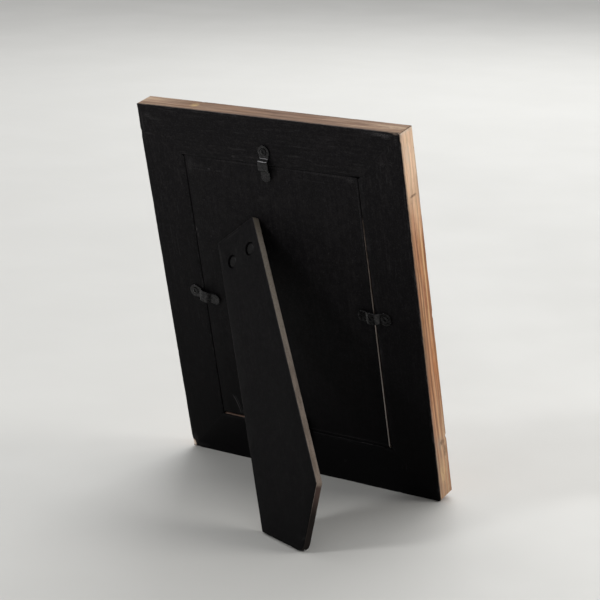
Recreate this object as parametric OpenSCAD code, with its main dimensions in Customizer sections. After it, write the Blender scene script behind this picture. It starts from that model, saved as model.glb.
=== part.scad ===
// Wooden table picture frame seen with its easel leg open.
// Rest position: standing in portrait on its bottom edge and on the foot of the leg.
// Plus Z is up, the glass faces minus Y, the back and the leg face plus Y.

/* [Frame] */
// Width of the frame across the outer edges
frame_w = 193; // [188:0.5:198]
// Height of the frame across the outer edges
frame_h = 243; // [238:0.5:248]
// Thickness of the moulding, front to back
frame_t = 14.6; // [13.5:0.1:17]
// Width of each rail on the back, outer edge to the rebate
rail_w = 30.5; // [28:0.5:33]
// How far the front lip covers the glass
lip_w = 6; // [4:0.5:8]
// Depth of the rebate from the back
rebate_d = 8.7; // [8.5:0.1:9.5]
// Small chamfer on every long outer corner
edge_break = 0.6; // [0.3:0.1:1]
// Bevel on the inner edge of the front
sight_bevel = 1.6; // [0.5:0.1:2.5]

/* [Inside the rebate] */
// Thickness of the backing board
board_t = 3; // [2.5:0.1:3.2]
// Depth of the board's outer face below the back of the rails
board_recess = 0.4; // [0.2:0.1:0.8]
// Play of the board in its rebate across the width, both sides together
board_play_w = 4.0; // [3.6:0.1:5]
// Play of the board in its rebate over the height, both sides together
board_play_h = 1.8; // [1.6:0.1:3]
// How far the board has slid towards the left rail
board_shift = 0.95; // [0:0.05:1.2]
// How far the board has slid towards the top rail
board_rise = 0.45; // [0:0.05:0.5]
// Small turn of the board in its rebate, degrees
board_turn = 0.25; // [0:0.05:0.3]
// Thickness of the corrugated filler card
card_t = 2.4; // [1.5:0.1:2.5]
// Thickness of the print
print_t = 0.3; // [0.2:0.05:0.4]
// Thickness of the glass
glass_t = 2; // [1.5:0.1:2.2]

/* [Easel leg] */
// Width of the leg at its top edge
leg_w = 37.6; // [34:0.2:40]
// Outward slope of each long side, degrees
leg_flare = 3.05; // [2:0.05:4]
// Thickness of the leg
leg_t = 4.7; // [4:0.1:5.5]
// Angle between the open leg and the back, degrees
leg_open = 32.5; // [30:0.5:34]
// Backward lean when standing in portrait, degrees
lean = 12.3; // [11.5:0.1:13]
// Backward lean when standing in landscape, degrees
lean_side = 9.5; // [8.5:0.1:11]
// Radius at the point of the foot
tip_r = 5; // [3:0.5:6]

/* [Hinge] */
// Sideways place of the hinge pin's middle
pin_x = 24.6; // [22:0.2:27]
// Height of the hinge pin's middle above the bottom edge
pin_z = 159.8; // [156:0.2:164]
// Slope of the hinge pin across the back, degrees
hinge_slope = 35.7; // [34:0.1:37]
// Radius of the hinge pin
pin_r = 0.8; // [0.7:0.05:0.9]
// Thickness of each hinge leaf
leaf_t = 0.8; // [0.6:0.1:0.9]
// Radial clearance of the moving leaf on the pin
pin_play = 0.05; // [0.02:0.01:0.08]

/* [Turn buttons] */
// Screw centre to the end of the tongue
button_len = 19.2; // [18:0.2:21]
// Radius of the eye round the screw
eye_r = 4.1; // [3.8:0.1:4.5]
// Width of the raised middle part
button_w = 7.4; // [6.5:0.1:8]
// Width of the tongue
tongue_w = 6.6; // [5:0.1:7]
// Thickness of the steel strip
strip_t = 0.9; // [0.7:0.1:1]
// Height of the raised middle part above the rail
hump_h = 3.5; // [3:0.1:3.8]
// Radius of the screw shank
screw_r = 1.4; // [1.2:0.1:1.5]

/* [Hidden] */
$fn = 64;

hw = frame_w / 2;
open_w = frame_w - 2 * rail_w;
open_h = frame_h - 2 * rail_w;
board_w = open_w - board_play_w;
board_h = open_h - board_play_h;
board_y = -board_recess;
card_y = board_y - board_t - 0.05;
print_y = card_y - card_t - 0.05;
glass_y = print_y - print_t - 0.05;

// Hinge: pin lifted above the board, leg's inner face beyond the pin
lift = 1.8;
hinge_mid = -0.9;
hinge_half = 14.2;
pin_y = board_y + leaf_t + lift;
ear_r = 1.5;
heel = (pin_y + lift * cos(leg_open) - (board_y + 0.15)) / sin(leg_open);

// Directions of the leg: across, down and out, each as its upright and depth share
ez = -sin(hinge_slope) * cos(lean);
bz = -sin(leg_open) * sin(lean) - cos(leg_open) * cos(hinge_slope) * cos(lean);
nz = -cos(leg_open) * sin(lean) + sin(leg_open) * cos(hinge_slope) * cos(lean);
ey = -sin(hinge_slope) * sin(lean);
by = sin(leg_open) * cos(lean) - cos(leg_open) * cos(hinge_slope) * sin(lean);
ny = cos(leg_open) * cos(lean) + sin(leg_open) * cos(hinge_slope) * sin(lean);

// Level of the table under the chamfered bottom edge
floor_z = edge_break * sin(lean);
pz = -pin_y * sin(lean) + pin_z * cos(lean) - floor_z;

// Foot edge that meets the table in portrait: v = a1 + b1 * u
a1 = -(pz + lift * nz) / bz;
b1 = -ez / bz;
// Foot edge that meets the table in landscape: v = a2 + b2 * u
k2 = sin(leg_open) * tan(lean_side) + cos(leg_open) * sin(hinge_slope);
a2 = (pin_x + hw + lift * sin(leg_open) * sin(hinge_slope)
      - (pin_y + lift * cos(leg_open) + edge_break) * tan(lean_side)) / k2;
b2 = cos(hinge_slope) / k2;
tf = tan(leg_flare);
w0 = leg_w / 2 + heel * tf;      // half width at the pin's level
vl = (a1 + b1 * w0) / (1 - b1 * tf);
ul = w0 + vl * tf;
vr = (a2 - b2 * w0) / (1 + b2 * tf);
ur = -(w0 + vr * tf);
n1 = sqrt(1 + b1 * b1);
n2 = sqrt(1 + b2 * b2);
uc = ((a2 - tip_r * n2) - (a1 - tip_r * n1)) / (b1 - b2);
vc = a1 - tip_r * n1 + b1 * uc;

// Depth of the whole object, used to centre it
y_front = -frame_t * cos(lean) + edge_break * sin(lean);
y_foot = pin_y * cos(lean) + pin_z * sin(lean) + uc * ey + vc * by
         + (lift + leg_t) * ny + tip_r * sqrt(ey * ey + by * by);
mid_y = (y_front + y_foot) / 2;

// Rivets through the leg
rivet_v = 17.5 - heel;
rivet_u = [8.4, -10.2];
well_r = 4.2;
well_d = 1.8;

wood_c = [0.62, 0.46, 0.31];
black_c = [0.09, 0.09, 0.10];
metal_c = [0.13, 0.13, 0.14];
steel_c = [0.55, 0.55, 0.56];

// Leans the upright frame back and sets it on the table
module place() { translate([0, -mid_y, -floor_z]) rotate([-lean, 0, 0]) children(); }
// Hinge on the back: X along the pin, Y down the board, Z outwards
module at_hinge() { translate([pin_x, pin_y, pin_z]) rotate([0, hinge_slope, 0]) rotate([-90, 0, 0]) children(); }
// The same axes turned with the open leg
module at_leg() { at_hinge() rotate([leg_open, 0, 0]) children(); }

// Section of the moulding: X is the distance in from the outer edge, Y is depth
module moulding() {
  c = edge_break;
  polygon([[c, 0], [rail_w - 0.25, 0], [rail_w, -0.25], [rail_w, -rebate_d],
           [rail_w + lip_w, -rebate_d], [rail_w + lip_w, -frame_t + sight_bevel],
           [rail_w + lip_w - sight_bevel * 0.8, -frame_t],
           [c, -frame_t], [0, -frame_t + c], [0, -c]]);
}

// One rail along X with its outer edge at z = 0 and both ends mitred
module mitred_rail(len) {
  intersection() {
    translate([-len / 2, 0, 0]) rotate([90, 0, 90]) linear_extrude(len) mirror([1, 0]) rotate(90) moulding();
    rotate([90, 0, 0]) translate([0, 0, -1]) linear_extrude(frame_t + 2)
      polygon([[-len / 2, 0], [len / 2, 0], [len / 2 - 60, 60], [-len / 2 + 60, 60]]);
  }
}

// Pilot hole for one turn button screw, axis at the origin
module pilot() { rotate([90, 0, 0]) cylinder(r = screw_r, h = 8.4); }

top_eye = [1.9, 221.3];
bot_eye = [0, 21.7];
left_eye = [72, 118.8];
right_eye = [-72, 121.6];
eyes = [top_eye, bot_eye, left_eye, right_eye];

module rail_cut() {
  difference() {
    children();
    for (q = eyes) translate([q[0], 0, q[1]]) pilot();
  }
}
module rail_bottom() { color(wood_c) place() rail_cut() mitred_rail(frame_w); }
module rail_top() { color(wood_c) place() rail_cut() translate([0, 0, frame_h]) rotate([0, 180, 0]) mitred_rail(frame_w); }
// Left and right as seen from behind
module rail_left() { color(wood_c) place() rail_cut() translate([hw, 0, frame_h / 2]) rotate([0, -90, 0]) mitred_rail(frame_h); }
module rail_right() { color(wood_c) place() rail_cut() translate([-hw, 0, frame_h / 2]) rotate([0, 90, 0]) mitred_rail(frame_h); }

// Bent steel V-nail across a mitre, point towards the outer corner
module v_nail() {
  rotate([90, 0, 0]) linear_extrude(6) union() {
    for (m = [0, 1]) mirror([m, 0]) polygon([[0, 0], [4.2, 4.2], [4.7, 3.9], [5.1, 4.5], [4.1, 5.0], [0, 0.8]]);
  }
}
module corner_v_nails() {
  color(steel_c) place()
    for (sx = [-1, 1], sz = [-1, 1], d = [9, 19])
      translate([sx * (hw - d), -1.6, frame_h / 2 + sz * (frame_h / 2 - d)])
        rotate([0, sx * (sz > 0 ? 135 : 45) + (sx > 0 ? 180 : 180), 0]) v_nail();
}

module sheet_in(w, h, t, y) { translate([-w / 2, y - t, frame_h / 2 - h / 2]) cube([w, t, h]); }
module glass() { color([0.8, 0.9, 0.9, 0.35]) place() sheet_in(open_w - 1, open_h - 1, glass_t, glass_y); }
module picture_print() { color([0.93, 0.91, 0.86]) place() sheet_in(open_w - 2, open_h - 2, print_t, print_y); }
module filler_card() { color([0.68, 0.53, 0.36]) place() sheet_in(open_w - 2, open_h - 2, card_t, card_y); }

// Repeats its children at the two rivets through the backing board
module bracket_rivets() {
  for (x = [-6.5, 6.5]) translate([hinge_mid + x, 9.5, 0]) children();
}
module backing_board() {
  color(black_c) place() difference() {
    translate([board_shift, 0, frame_h / 2 + board_rise]) rotate([0, -board_turn, 0])
      translate([-board_w / 2, board_y - board_t, -board_h / 2]) cube([board_w, board_t, board_h]);
    at_hinge() bracket_rivets() {
      translate([0, 0, -lift - leaf_t - board_t - 1]) cylinder(r = 1.55, h = board_t + 2);
    }
    at_hinge() bracket_rivets() {
      translate([0, 0, -lift - leaf_t - board_t]) cylinder(r1 = 2.85, r2 = 1.55, h = 1.3);
      translate([0, 0, -lift - leaf_t - board_t - 1]) cylinder(r = 2.85, h = 1);
    }
  }
}

// Leaf outline with cut corners at the far end
module leaf(half, y0, y1, c) { polygon([[-half, y0], [half, y0], [half, y1 - c], [half - c, y1], [-half + c, y1], [-half, y1 - c]]); }

module hinge_bracket() {
  color(metal_c) place() at_hinge() difference() {
    union() {
      translate([hinge_mid, 0, -lift - leaf_t]) linear_extrude(leaf_t) leaf(hinge_half, -3.2, 14, 3);
      for (x = [-hinge_half, hinge_half - 0.8]) translate([hinge_mid + x, 0, 0]) {
        rotate([0, 90, 0]) cylinder(r = ear_r, h = 0.8);
        translate([0, -ear_r, -lift - 0.1]) cube([0.8, 2 * ear_r, lift + 0.1]);
      }
    }
    translate([-25, 0, 0]) rotate([0, 90, 0]) cylinder(r = pin_r, h = 50);
    bracket_rivets() translate([0, 0, -6]) cylinder(r = 1.55, h = 8);
  }
}
module hinge_bracket_rivets() {
  color(metal_c) place() at_hinge() bracket_rivets() {
    rotate_extrude() polygon([[0, -lift - leaf_t - board_t], [2.8, -lift - leaf_t - board_t],
      [1.5, -lift - leaf_t - board_t + 1.3], [1.5, -lift], [3, -lift], [3, -lift + 0.3], [2.3, -lift + 0.75],
      [1.1, -lift + 0.95], [0.7, -lift + 0.7], [0, -lift + 0.7]]);
  }
}
module hinge_pin() {
  k = hinge_half + 0.02;
  color(steel_c) place() at_hinge() translate([hinge_mid, 0, 0]) rotate([0, 90, 0]) rotate_extrude()
    polygon([[0, -k - 0.7], [1, -k - 0.7], [1.3, -k - 0.4], [1.3, -k], [pin_r, -k],
             [pin_r, k], [1.3, k], [1.3, k + 0.4], [1, k + 0.7], [0, k + 0.7]]);
}

module leg_hinge_leaf() {
  color(metal_c) place() at_leg() difference() {
    union() {
      translate([hinge_mid, 0, lift - leaf_t]) linear_extrude(leaf_t) leaf(hinge_half - 1.1, -2.6, 15, 3);
      for (x = [-hinge_half + 1.1, hinge_half - 1.9]) translate([hinge_mid + x, 0, 0]) {
        rotate([0, 90, 0]) cylinder(r = ear_r, h = 0.8);
        translate([0, -ear_r, 0]) cube([0.8, 2 * ear_r, lift - 0.1]);
      }
    }
    translate([-25, 0, 0]) rotate([0, 90, 0]) cylinder(r = pin_r + pin_play, h = 50);
    for (u = rivet_u) translate([u, rivet_v, -1]) cylinder(r = 1.65, h = 5);
  }
}
module leg_rivets() {
  h0 = lift + leg_t - well_d;
  color(metal_c) place() at_leg() for (u = rivet_u) translate([u, rivet_v, 0])
    rotate_extrude() polygon([[0, lift - leaf_t - 0.8], [2, lift - leaf_t - 0.8], [2.6, lift - leaf_t - 0.4],
      [2.6, lift - leaf_t], [1.6, lift - leaf_t], [1.6, h0], [3.4, h0], [3.4, h0 + 0.35], [2.7, h0 + 0.9],
      [1.4, h0 + 1.15], [0.9, h0 + 0.8], [0, h0 + 0.8]]);
}
module easel_leg() {
  c = 1;
  wt = leg_w / 2;
  t1 = [uc - tip_r * b1 / n1, vc + tip_r / n1];
  t2 = [uc - tip_r * b2 / n2, vc + tip_r / n2];
  color(black_c) place() at_leg() difference() {
    translate([0, 0, lift]) union() {
      linear_extrude(leg_t) polygon([[-wt + c, -heel], [wt - c, -heel], [wt + c * tf, -heel + c],
        [ul, vl], t1, [uc, vc], t2, [ur, vr], [-wt - c * tf, -heel + c]]);
      translate([uc, vc, 0]) cylinder(r = tip_r, h = leg_t);
    }
    for (u = rivet_u) translate([u, rivet_v, 0]) {
      cylinder(r = 1.65, h = 20);
      translate([0, 0, lift + leg_t - well_d]) cylinder(r = well_r, h = 5);
    }
  }
}

// Turn button lying along X from its screw, Z is outwards
module turn_button() {
  t = strip_t;
  s = [4.4, 5.9, 11.0, 12.6];
  difference() {
    intersection() {
      rotate([90, 0, 0]) translate([0, 0, -6]) linear_extrude(12)
        polygon([[-eye_r - 1, 0.15 + t], [s[0], 0.15 + t], [s[1], hump_h], [s[2], hump_h], [s[3], 0.5 + t], [button_len + 1, 0.5 + t],
                 [button_len + 1, 0.5], [s[3] - 0.5, 0.5], [s[2] - 0.5, hump_h - t], [s[1] + 0.5, hump_h - t], [s[0] + 0.5, 0.15], [-eye_r - 1, 0.15]]);
      union() {
        cylinder(r = eye_r, h = 6);
        linear_extrude(6) polygon([[0, -3.4], [s[0], -3.4], [s[1], -button_w / 2], [s[2], -button_w / 2], [s[3], -tongue_w / 2],
          [button_len - 2.6, -tongue_w / 2], [button_len - 2.6, tongue_w / 2], [s[3], tongue_w / 2], [s[2], button_w / 2],
          [s[1], button_w / 2], [s[0], 3.4], [0, 3.4]]);
        intersection() {
          translate([button_len - 3.6, 0, 0]) cylinder(r = 3.6, h = 6);
          translate([button_len - 8, -tongue_w / 2, 0]) cube([9, tongue_w, 6]);
        }
      }
    }
    translate([0, 0, -1]) cylinder(r = screw_r + 0.08, h = 4);
    translate([0, 0, 0.35]) cylinder(r1 = screw_r + 0.08, r2 = screw_r + 1.18, h = 1.1);
  }
}
// Places a button: eye position, and direction of the tongue in the plane of the back
module button_at(q, dir) { place() translate([q[0], 0, q[1]]) rotate([0, dir, 0]) rotate([-90, 0, 0]) turn_button(); }
module turn_button_top() { color(metal_c) button_at(top_eye, 88.7); }
module turn_button_bottom() { color(metal_c) button_at(bot_eye, -90); }
module turn_button_left() { color(metal_c) button_at(left_eye, 165.8); }
module turn_button_right() { color(metal_c) button_at(right_eye, -1.7); }

// Raised countersunk wood screw with a cross recess, head top outwards along Z
module button_screw(turn) {
  difference() {
    rotate_extrude() polygon([[0, -8], [0.4, -7.9], [screw_r, -5], [screw_r, 0.35], [screw_r + 1, 1.35], [screw_r + 1, 1.5],
      [screw_r + 0.5, 1.78], [screw_r - 0.5, 1.92], [0, 1.95]]);
    rotate(turn) for (a = [0, 90]) rotate(a) translate([-1.3, -0.28, 1.25]) cube([2.6, 0.56, 1.5]);
  }
}
module turn_button_screws() {
  turns = [20, 55, 35, 10];
  color(metal_c) place() for (i = [0 : 3]) translate([eyes[i][0], 0, eyes[i][1]]) rotate([-90, 0, 0]) button_screw(turns[i]);
}

rail_top();
rail_bottom();
rail_left();
rail_right();
corner_v_nails();
glass();
picture_print();
filler_card();
backing_board();
hinge_bracket();
hinge_bracket_rivets();
hinge_pin();
easel_leg();
leg_hinge_leaf();
leg_rivets();
turn_button_top();
turn_button_bottom();
turn_button_left();
turn_button_right();
turn_button_screws();
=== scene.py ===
import math

import bpy
import bmesh
import numpy as np
from mathutils import Matrix, Vector, noise
from mathutils.geometry import delaunay_2d_cdt

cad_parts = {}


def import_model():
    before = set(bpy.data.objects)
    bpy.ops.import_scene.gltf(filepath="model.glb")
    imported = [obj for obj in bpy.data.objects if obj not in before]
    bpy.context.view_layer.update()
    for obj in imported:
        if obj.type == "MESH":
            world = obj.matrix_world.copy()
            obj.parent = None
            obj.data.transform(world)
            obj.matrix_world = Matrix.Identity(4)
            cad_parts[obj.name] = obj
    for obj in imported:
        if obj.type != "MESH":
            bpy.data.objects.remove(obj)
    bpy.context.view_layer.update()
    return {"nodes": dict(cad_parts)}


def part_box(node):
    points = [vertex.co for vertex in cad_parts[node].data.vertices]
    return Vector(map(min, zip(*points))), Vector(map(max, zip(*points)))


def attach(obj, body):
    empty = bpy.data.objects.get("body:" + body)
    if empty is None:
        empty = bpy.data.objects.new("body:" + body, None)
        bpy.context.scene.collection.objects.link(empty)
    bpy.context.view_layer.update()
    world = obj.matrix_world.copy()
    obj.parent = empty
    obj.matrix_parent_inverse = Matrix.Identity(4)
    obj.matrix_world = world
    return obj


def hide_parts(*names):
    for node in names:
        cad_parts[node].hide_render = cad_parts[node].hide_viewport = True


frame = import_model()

# ---------------------------------------------------------------- dimensions
# Millimetres in the upright frame: X across, Y out of the back, Z up from the
# bottom edge. They repeat the driving dimensions of part.scad.
FW, FH, FT = 193.0, 243.0, 14.6
RAIL_W, LIP_W, REBATE_D, SIGHT = 30.5, 6.0, 8.7, 1.6
BREAK = 0.6
BOARD_T, BOARD_RECESS, PLAY_W, PLAY_H, BOARD_SHIFT, BOARD_RISE, BOARD_TURN = 3.0, 0.4, 4.0, 1.8, 0.95, 0.45, 0.25
CARD_T, PRINT_T, GLASS_T = 2.4, 0.3, 2.0
LEG_W, LEG_FLARE, LEG_T, LEG_OPEN = 37.6, 3.05, 4.7, 32.5
LEAN, LEAN_SIDE, TIP_R = 12.3, 9.5, 5.0
PIN_X, PIN_Z, SLOPE = 24.6, 159.8, 35.7
PIN_R, LEAF_T, PLAY = 0.8, 0.8, 0.05
BUTTON_LEN, EYE_R, BUTTON_W, TONGUE_W, STRIP_T, HUMP_H, SCREW_R = 19.2, 4.1, 7.4, 6.6, 0.9, 3.5, 1.4

rad = math.radians
CA, SA = math.cos(rad(LEAN)), math.sin(rad(LEAN))
HW = FW / 2
OPEN_W, OPEN_H = FW - 2 * RAIL_W, FH - 2 * RAIL_W
BOARD_W, BOARD_H = OPEN_W - PLAY_W, OPEN_H - PLAY_H
BOARD_Z0 = (FH - BOARD_H) / 2 + BOARD_RISE
BOARD_Y = -BOARD_RECESS
CARD_Y = BOARD_Y - BOARD_T - 0.05
PRINT_Y = CARD_Y - CARD_T - 0.05
GLASS_Y = PRINT_Y - PRINT_T - 0.05
LIFT, HINGE_MID, HINGE_HALF, EAR_R = 1.8, -0.9, 14.2, 1.5
PIN_Y = BOARD_Y + LEAF_T + LIFT
SO, CO = math.sin(rad(LEG_OPEN)), math.cos(rad(LEG_OPEN))
HEEL = (PIN_Y + LIFT * CO - (BOARD_Y + 0.15)) / SO
SS, CS = math.sin(rad(SLOPE)), math.cos(rad(SLOPE))
ez = -SS * CA
bz = -SO * SA - CO * CS * CA
nz = -CO * SA + SO * CS * CA
ey = -SS * SA
by = SO * CA - CO * CS * SA
ny = CO * CA + SO * CS * SA
FLOOR_Z = BREAK * SA
pz = -PIN_Y * SA + PIN_Z * CA - FLOOR_Z
A1, B1 = -(pz + LIFT * nz) / bz, -ez / bz
k2 = SO * math.tan(rad(LEAN_SIDE)) + CO * SS
A2 = (PIN_X + HW + LIFT * SO * SS - (PIN_Y + LIFT * CO + BREAK) * math.tan(rad(LEAN_SIDE))) / k2
B2 = CS / k2
TF = math.tan(rad(LEG_FLARE))
W0 = LEG_W / 2 + HEEL * TF
VL = (A1 + B1 * W0) / (1 - B1 * TF)
UL = W0 + VL * TF
VR = (A2 - B2 * W0) / (1 + B2 * TF)
UR = -(W0 + VR * TF)
N1, N2 = math.hypot(1, B1), math.hypot(1, B2)
UC = ((A2 - TIP_R * N2) - (A1 - TIP_R * N1)) / (B1 - B2)
VC = A1 - TIP_R * N1 + B1 * UC
Y_FRONT = -FT * CA + BREAK * SA
Y_FOOT = PIN_Y * CA + PIN_Z * SA + UC * ey + VC * by + (LIFT + LEG_T) * ny + TIP_R * math.hypot(ey, by)
MID_Y = (Y_FRONT + Y_FOOT) / 2
RIVET_V = 17.5 - HEEL
RIVET_U = (8.4, -10.2)
WELL_R, WELL_D = 4.2, 1.8
EYES = {"top": ((1.9, 221.3), 88.7), "bottom": ((0, 21.7), -90.0), "left": ((72, 118.8), 165.8), "right": ((-72, 121.6), -1.7)}
TURNS = {"top": 20, "bottom": 55, "left": 35, "right": 10}


def world(p):
    """Upright millimetres to metres in the row frame."""
    p = np.asarray(p, float).reshape(-1, 3)
    x, y, z = p[:, 0], p[:, 1], p[:, 2]
    return np.stack([x, y * CA + z * SA - MID_Y, -y * SA + z * CA - FLOOR_Z], 1) * 0.001


def at_hinge(p):
    p = np.asarray(p, float).reshape(-1, 3)
    e, b, n = np.array([CS, 0, -SS]), np.array([-SS, 0, -CS]), np.array([0, 1.0, 0])
    return np.array([PIN_X, PIN_Y, PIN_Z]) + p[:, :1] * e + p[:, 1:2] * b + p[:, 2:] * n


def at_leg(p):
    p = np.asarray(p, float).reshape(-1, 3)
    e, b0, n0 = np.array([CS, 0, -SS]), np.array([-SS, 0, -CS]), np.array([0, 1.0, 0])
    b, n = CO * b0 + SO * n0, CO * n0 - SO * b0
    return np.array([PIN_X, PIN_Y, PIN_Z]) + p[:, :1] * e + p[:, 1:2] * b + p[:, 2:] * n


def at_button(p, eye, turn):
    p = np.asarray(p, float).reshape(-1, 3)
    c, s = math.cos(rad(turn)), math.sin(rad(turn))
    return np.stack([p[:, 0] * c - p[:, 1] * s + eye[0], p[:, 2], -p[:, 0] * s - p[:, 1] * c + eye[1]], 1)


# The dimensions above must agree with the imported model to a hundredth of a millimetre.
for node, corners in (
    ("rail_bottom", [[x, y, z] for x in (-HW, HW) for y in (0, -FT) for z in (BREAK, RAIL_W)] + [[HW, -BREAK, 0], [-HW, -BREAK, 0], [0, -FT + BREAK, 0]]),
):
    lo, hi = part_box(node)
    w = world(corners)
    assert abs(w[:, 2].min() - lo.z) < 3e-5 and abs(w[:, 0].max() - hi.x) < 3e-5, "part.scad and scene.py disagree"


def nz3(x, y, z, scale=1.0):
    return noise.noise(Vector((x * scale, y * scale, z * scale)))


def smooth01(t):
    t = np.clip(t, 0, 1)
    return t * t * (3 - 2 * t)


# ---------------------------------------------------------------- mesh helpers
def add(name, pts, faces, mat, body, nodes, P=None, attrs=None, angle=38, flat=False):
    """One mesh piece: pts in upright millimetres, faces as index lists."""
    me = bpy.data.meshes.new(name)
    me.from_pydata([tuple(v) for v in world(pts)], [], [list(f) for f in faces])
    me.validate(verbose=False)
    P = np.asarray(pts if P is None else P, float).reshape(-1, 3)
    a = me.attributes.new("P", "FLOAT_VECTOR", "POINT")
    a.data.foreach_set("vector", P.astype(np.float32).ravel())
    for k, v in (attrs or {}).items():
        a = me.attributes.new(k, "FLOAT", "POINT")
        a.data.foreach_set("value", np.broadcast_to(np.asarray(v, np.float32), (len(P),)).copy())
    bm = bmesh.new()
    bm.from_mesh(me)
    bmesh.ops.remove_doubles(bm, verts=bm.verts, dist=2e-7)
    bmesh.ops.dissolve_degenerate(bm, edges=bm.edges, dist=1e-7)
    bmesh.ops.recalc_face_normals(bm, faces=bm.faces)
    bm.to_mesh(me)
    bm.free()
    me.update()
    if not flat:
        me.shade_smooth()
        me.set_sharp_from_angle(angle=rad(angle))
    ob = bpy.data.objects.new(name, me)
    bpy.context.scene.collection.objects.link(ob)
    for m in mat if isinstance(mat, (list, tuple)) else [mat]:
        me.materials.append(m)
    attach(ob, body)
    if nodes:
        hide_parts(*nodes)
    return ob


def join(parts):
    """Several (points, faces, P) sets as one."""
    pts, faces, P, n = [], [], [], 0
    for p, f, q in parts:
        pts.append(np.asarray(p, float))
        P.append(np.asarray(q, float))
        faces += [[i + n for i in g] for g in f]
        n += len(p)
    return np.vstack(pts), faces, np.vstack(P)


def rounded(points, radii, segs=5, step=2.0):
    """A closed polygon with rounded corners. Returns its points and 1 where a point is on a corner."""
    n = len(points)
    arcs = []
    for i in range(n):
        p, a, b = (np.array(points[j], float) for j in (i, i - 1, (i + 1) % n))
        r = radii[i] if isinstance(radii, (list, tuple)) else radii
        u, v = (a - p) / np.linalg.norm(a - p), (b - p) / np.linalg.norm(b - p)
        ang = math.acos(max(-1, min(1, float(u @ v))))
        if r <= 0 or abs(ang - math.pi) < 1e-3:
            arcs.append([(p, 0.5)])
            continue
        d = min(r / math.tan(ang / 2), 0.49 * np.linalg.norm(a - p), 0.49 * np.linalg.norm(b - p))
        r = d * math.tan(ang / 2)
        bis = (u + v) / np.linalg.norm(u + v)
        c = p + bis * r / math.sin(ang / 2)
        s0, s1 = p + u * d - c, p + v * d - c
        t0, t1 = math.atan2(s0[1], s0[0]), math.atan2(s1[1], s1[0])
        dt = (t1 - t0 + math.pi) % (2 * math.pi) - math.pi
        k = segs if not isinstance(segs, (list, tuple)) else segs[i]
        arcs.append([(c + r * np.array([math.cos(t0 + dt * j / k), math.sin(t0 + dt * j / k)]), math.sin(math.pi * j / k) * 0.6 + 0.4) for j in range(k + 1)])
    out, flag = [], []
    for i in range(n):
        for q, f in arcs[i]:
            out.append(q)
            flag.append(f)
        a, b = arcs[i][-1][0], arcs[(i + 1) % n][0][0]
        m = int(np.linalg.norm(b - a) / step)
        for j in range(1, m + 1):
            out.append(a + (b - a) * j / (m + 1))
            flag.append(0.0)
    return np.array(out), np.array(flag)


def loop_normals(pts, ccw=True):
    """Normals of a closed loop, pointing out of the material that lies on its left."""
    d = np.roll(pts, -1, 0) - pts
    d /= np.maximum(np.linalg.norm(d, axis=1, keepdims=True), 1e-9)
    n1 = np.stack([d[:, 1], -d[:, 0]], 1)
    n0 = np.roll(n1, 1, 0)
    m = n0 + n1
    m /= np.maximum(np.linalg.norm(m, axis=1, keepdims=True), 1e-9)
    k = np.clip(1 / np.maximum((m * n1).sum(1), 0.5), 1, 1.6)
    return m * k[:, None]


def area(pts):
    x, y = pts[:, 0], pts[:, 1]
    return 0.5 * float(np.sum(x * np.roll(y, -1) - np.roll(x, -1) * y))


def inside(pts, x, y):
    c = False
    n = len(pts)
    for i in range(n):
        x1, y1 = pts[i]
        x2, y2 = pts[i - 1]
        if (y1 > y) != (y2 > y) and x < (x2 - x1) * (y - y1) / (y2 - y1) + x1:
            c = not c
    return c


def fill(outer, holes, spacing):
    """Triangles that fill a loop with holes. Returns extra inner points and faces over loops + inner points."""
    loops = [outer] + holes
    allp = [p for l in loops for p in l]
    edges, k = [], 0
    for l in loops:
        m = len(l)
        edges += [(k + i, k + (i + 1) % m) for i in range(m)]
        k += m
    inner = []
    if spacing:
        lo, hi = outer.min(0), outer.max(0)
        nx, ny_ = max(1, int((hi[0] - lo[0]) / spacing)), max(1, int((hi[1] - lo[1]) / spacing))
        for i in range(1, nx):
            for j in range(1, ny_):
                q = np.array([lo[0] + (hi[0] - lo[0]) * (i + 0.25 * (j % 2)) / nx, lo[1] + (hi[1] - lo[1]) * j / ny_])
                if not inside(outer, *q) or any(inside(h, *q) for h in holes):
                    continue
                if min(np.min(np.linalg.norm(l - q, axis=1)) for l in loops) < 0.4 * spacing:
                    continue
                inner.append(q)
    v = [Vector((float(p[0]), float(p[1]))) for p in allp + inner]
    co, _, tri, orig, _, _ = delaunay_2d_cdt(v, edges, [], 0, 1e-7)
    back = [o[0] if o else -1 for o in orig]
    faces = []
    for f in tri:
        cx = sum(co[i].x for i in f) / 3
        cy = sum(co[i].y for i in f) / 3
        if inside(outer, cx, cy) and not any(inside(h, cx, cy) for h in holes):
            g = [back[i] for i in f]
            if min(g) >= 0:
                faces.append(g)
    return np.array(inner).reshape(-1, 2), faces


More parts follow.
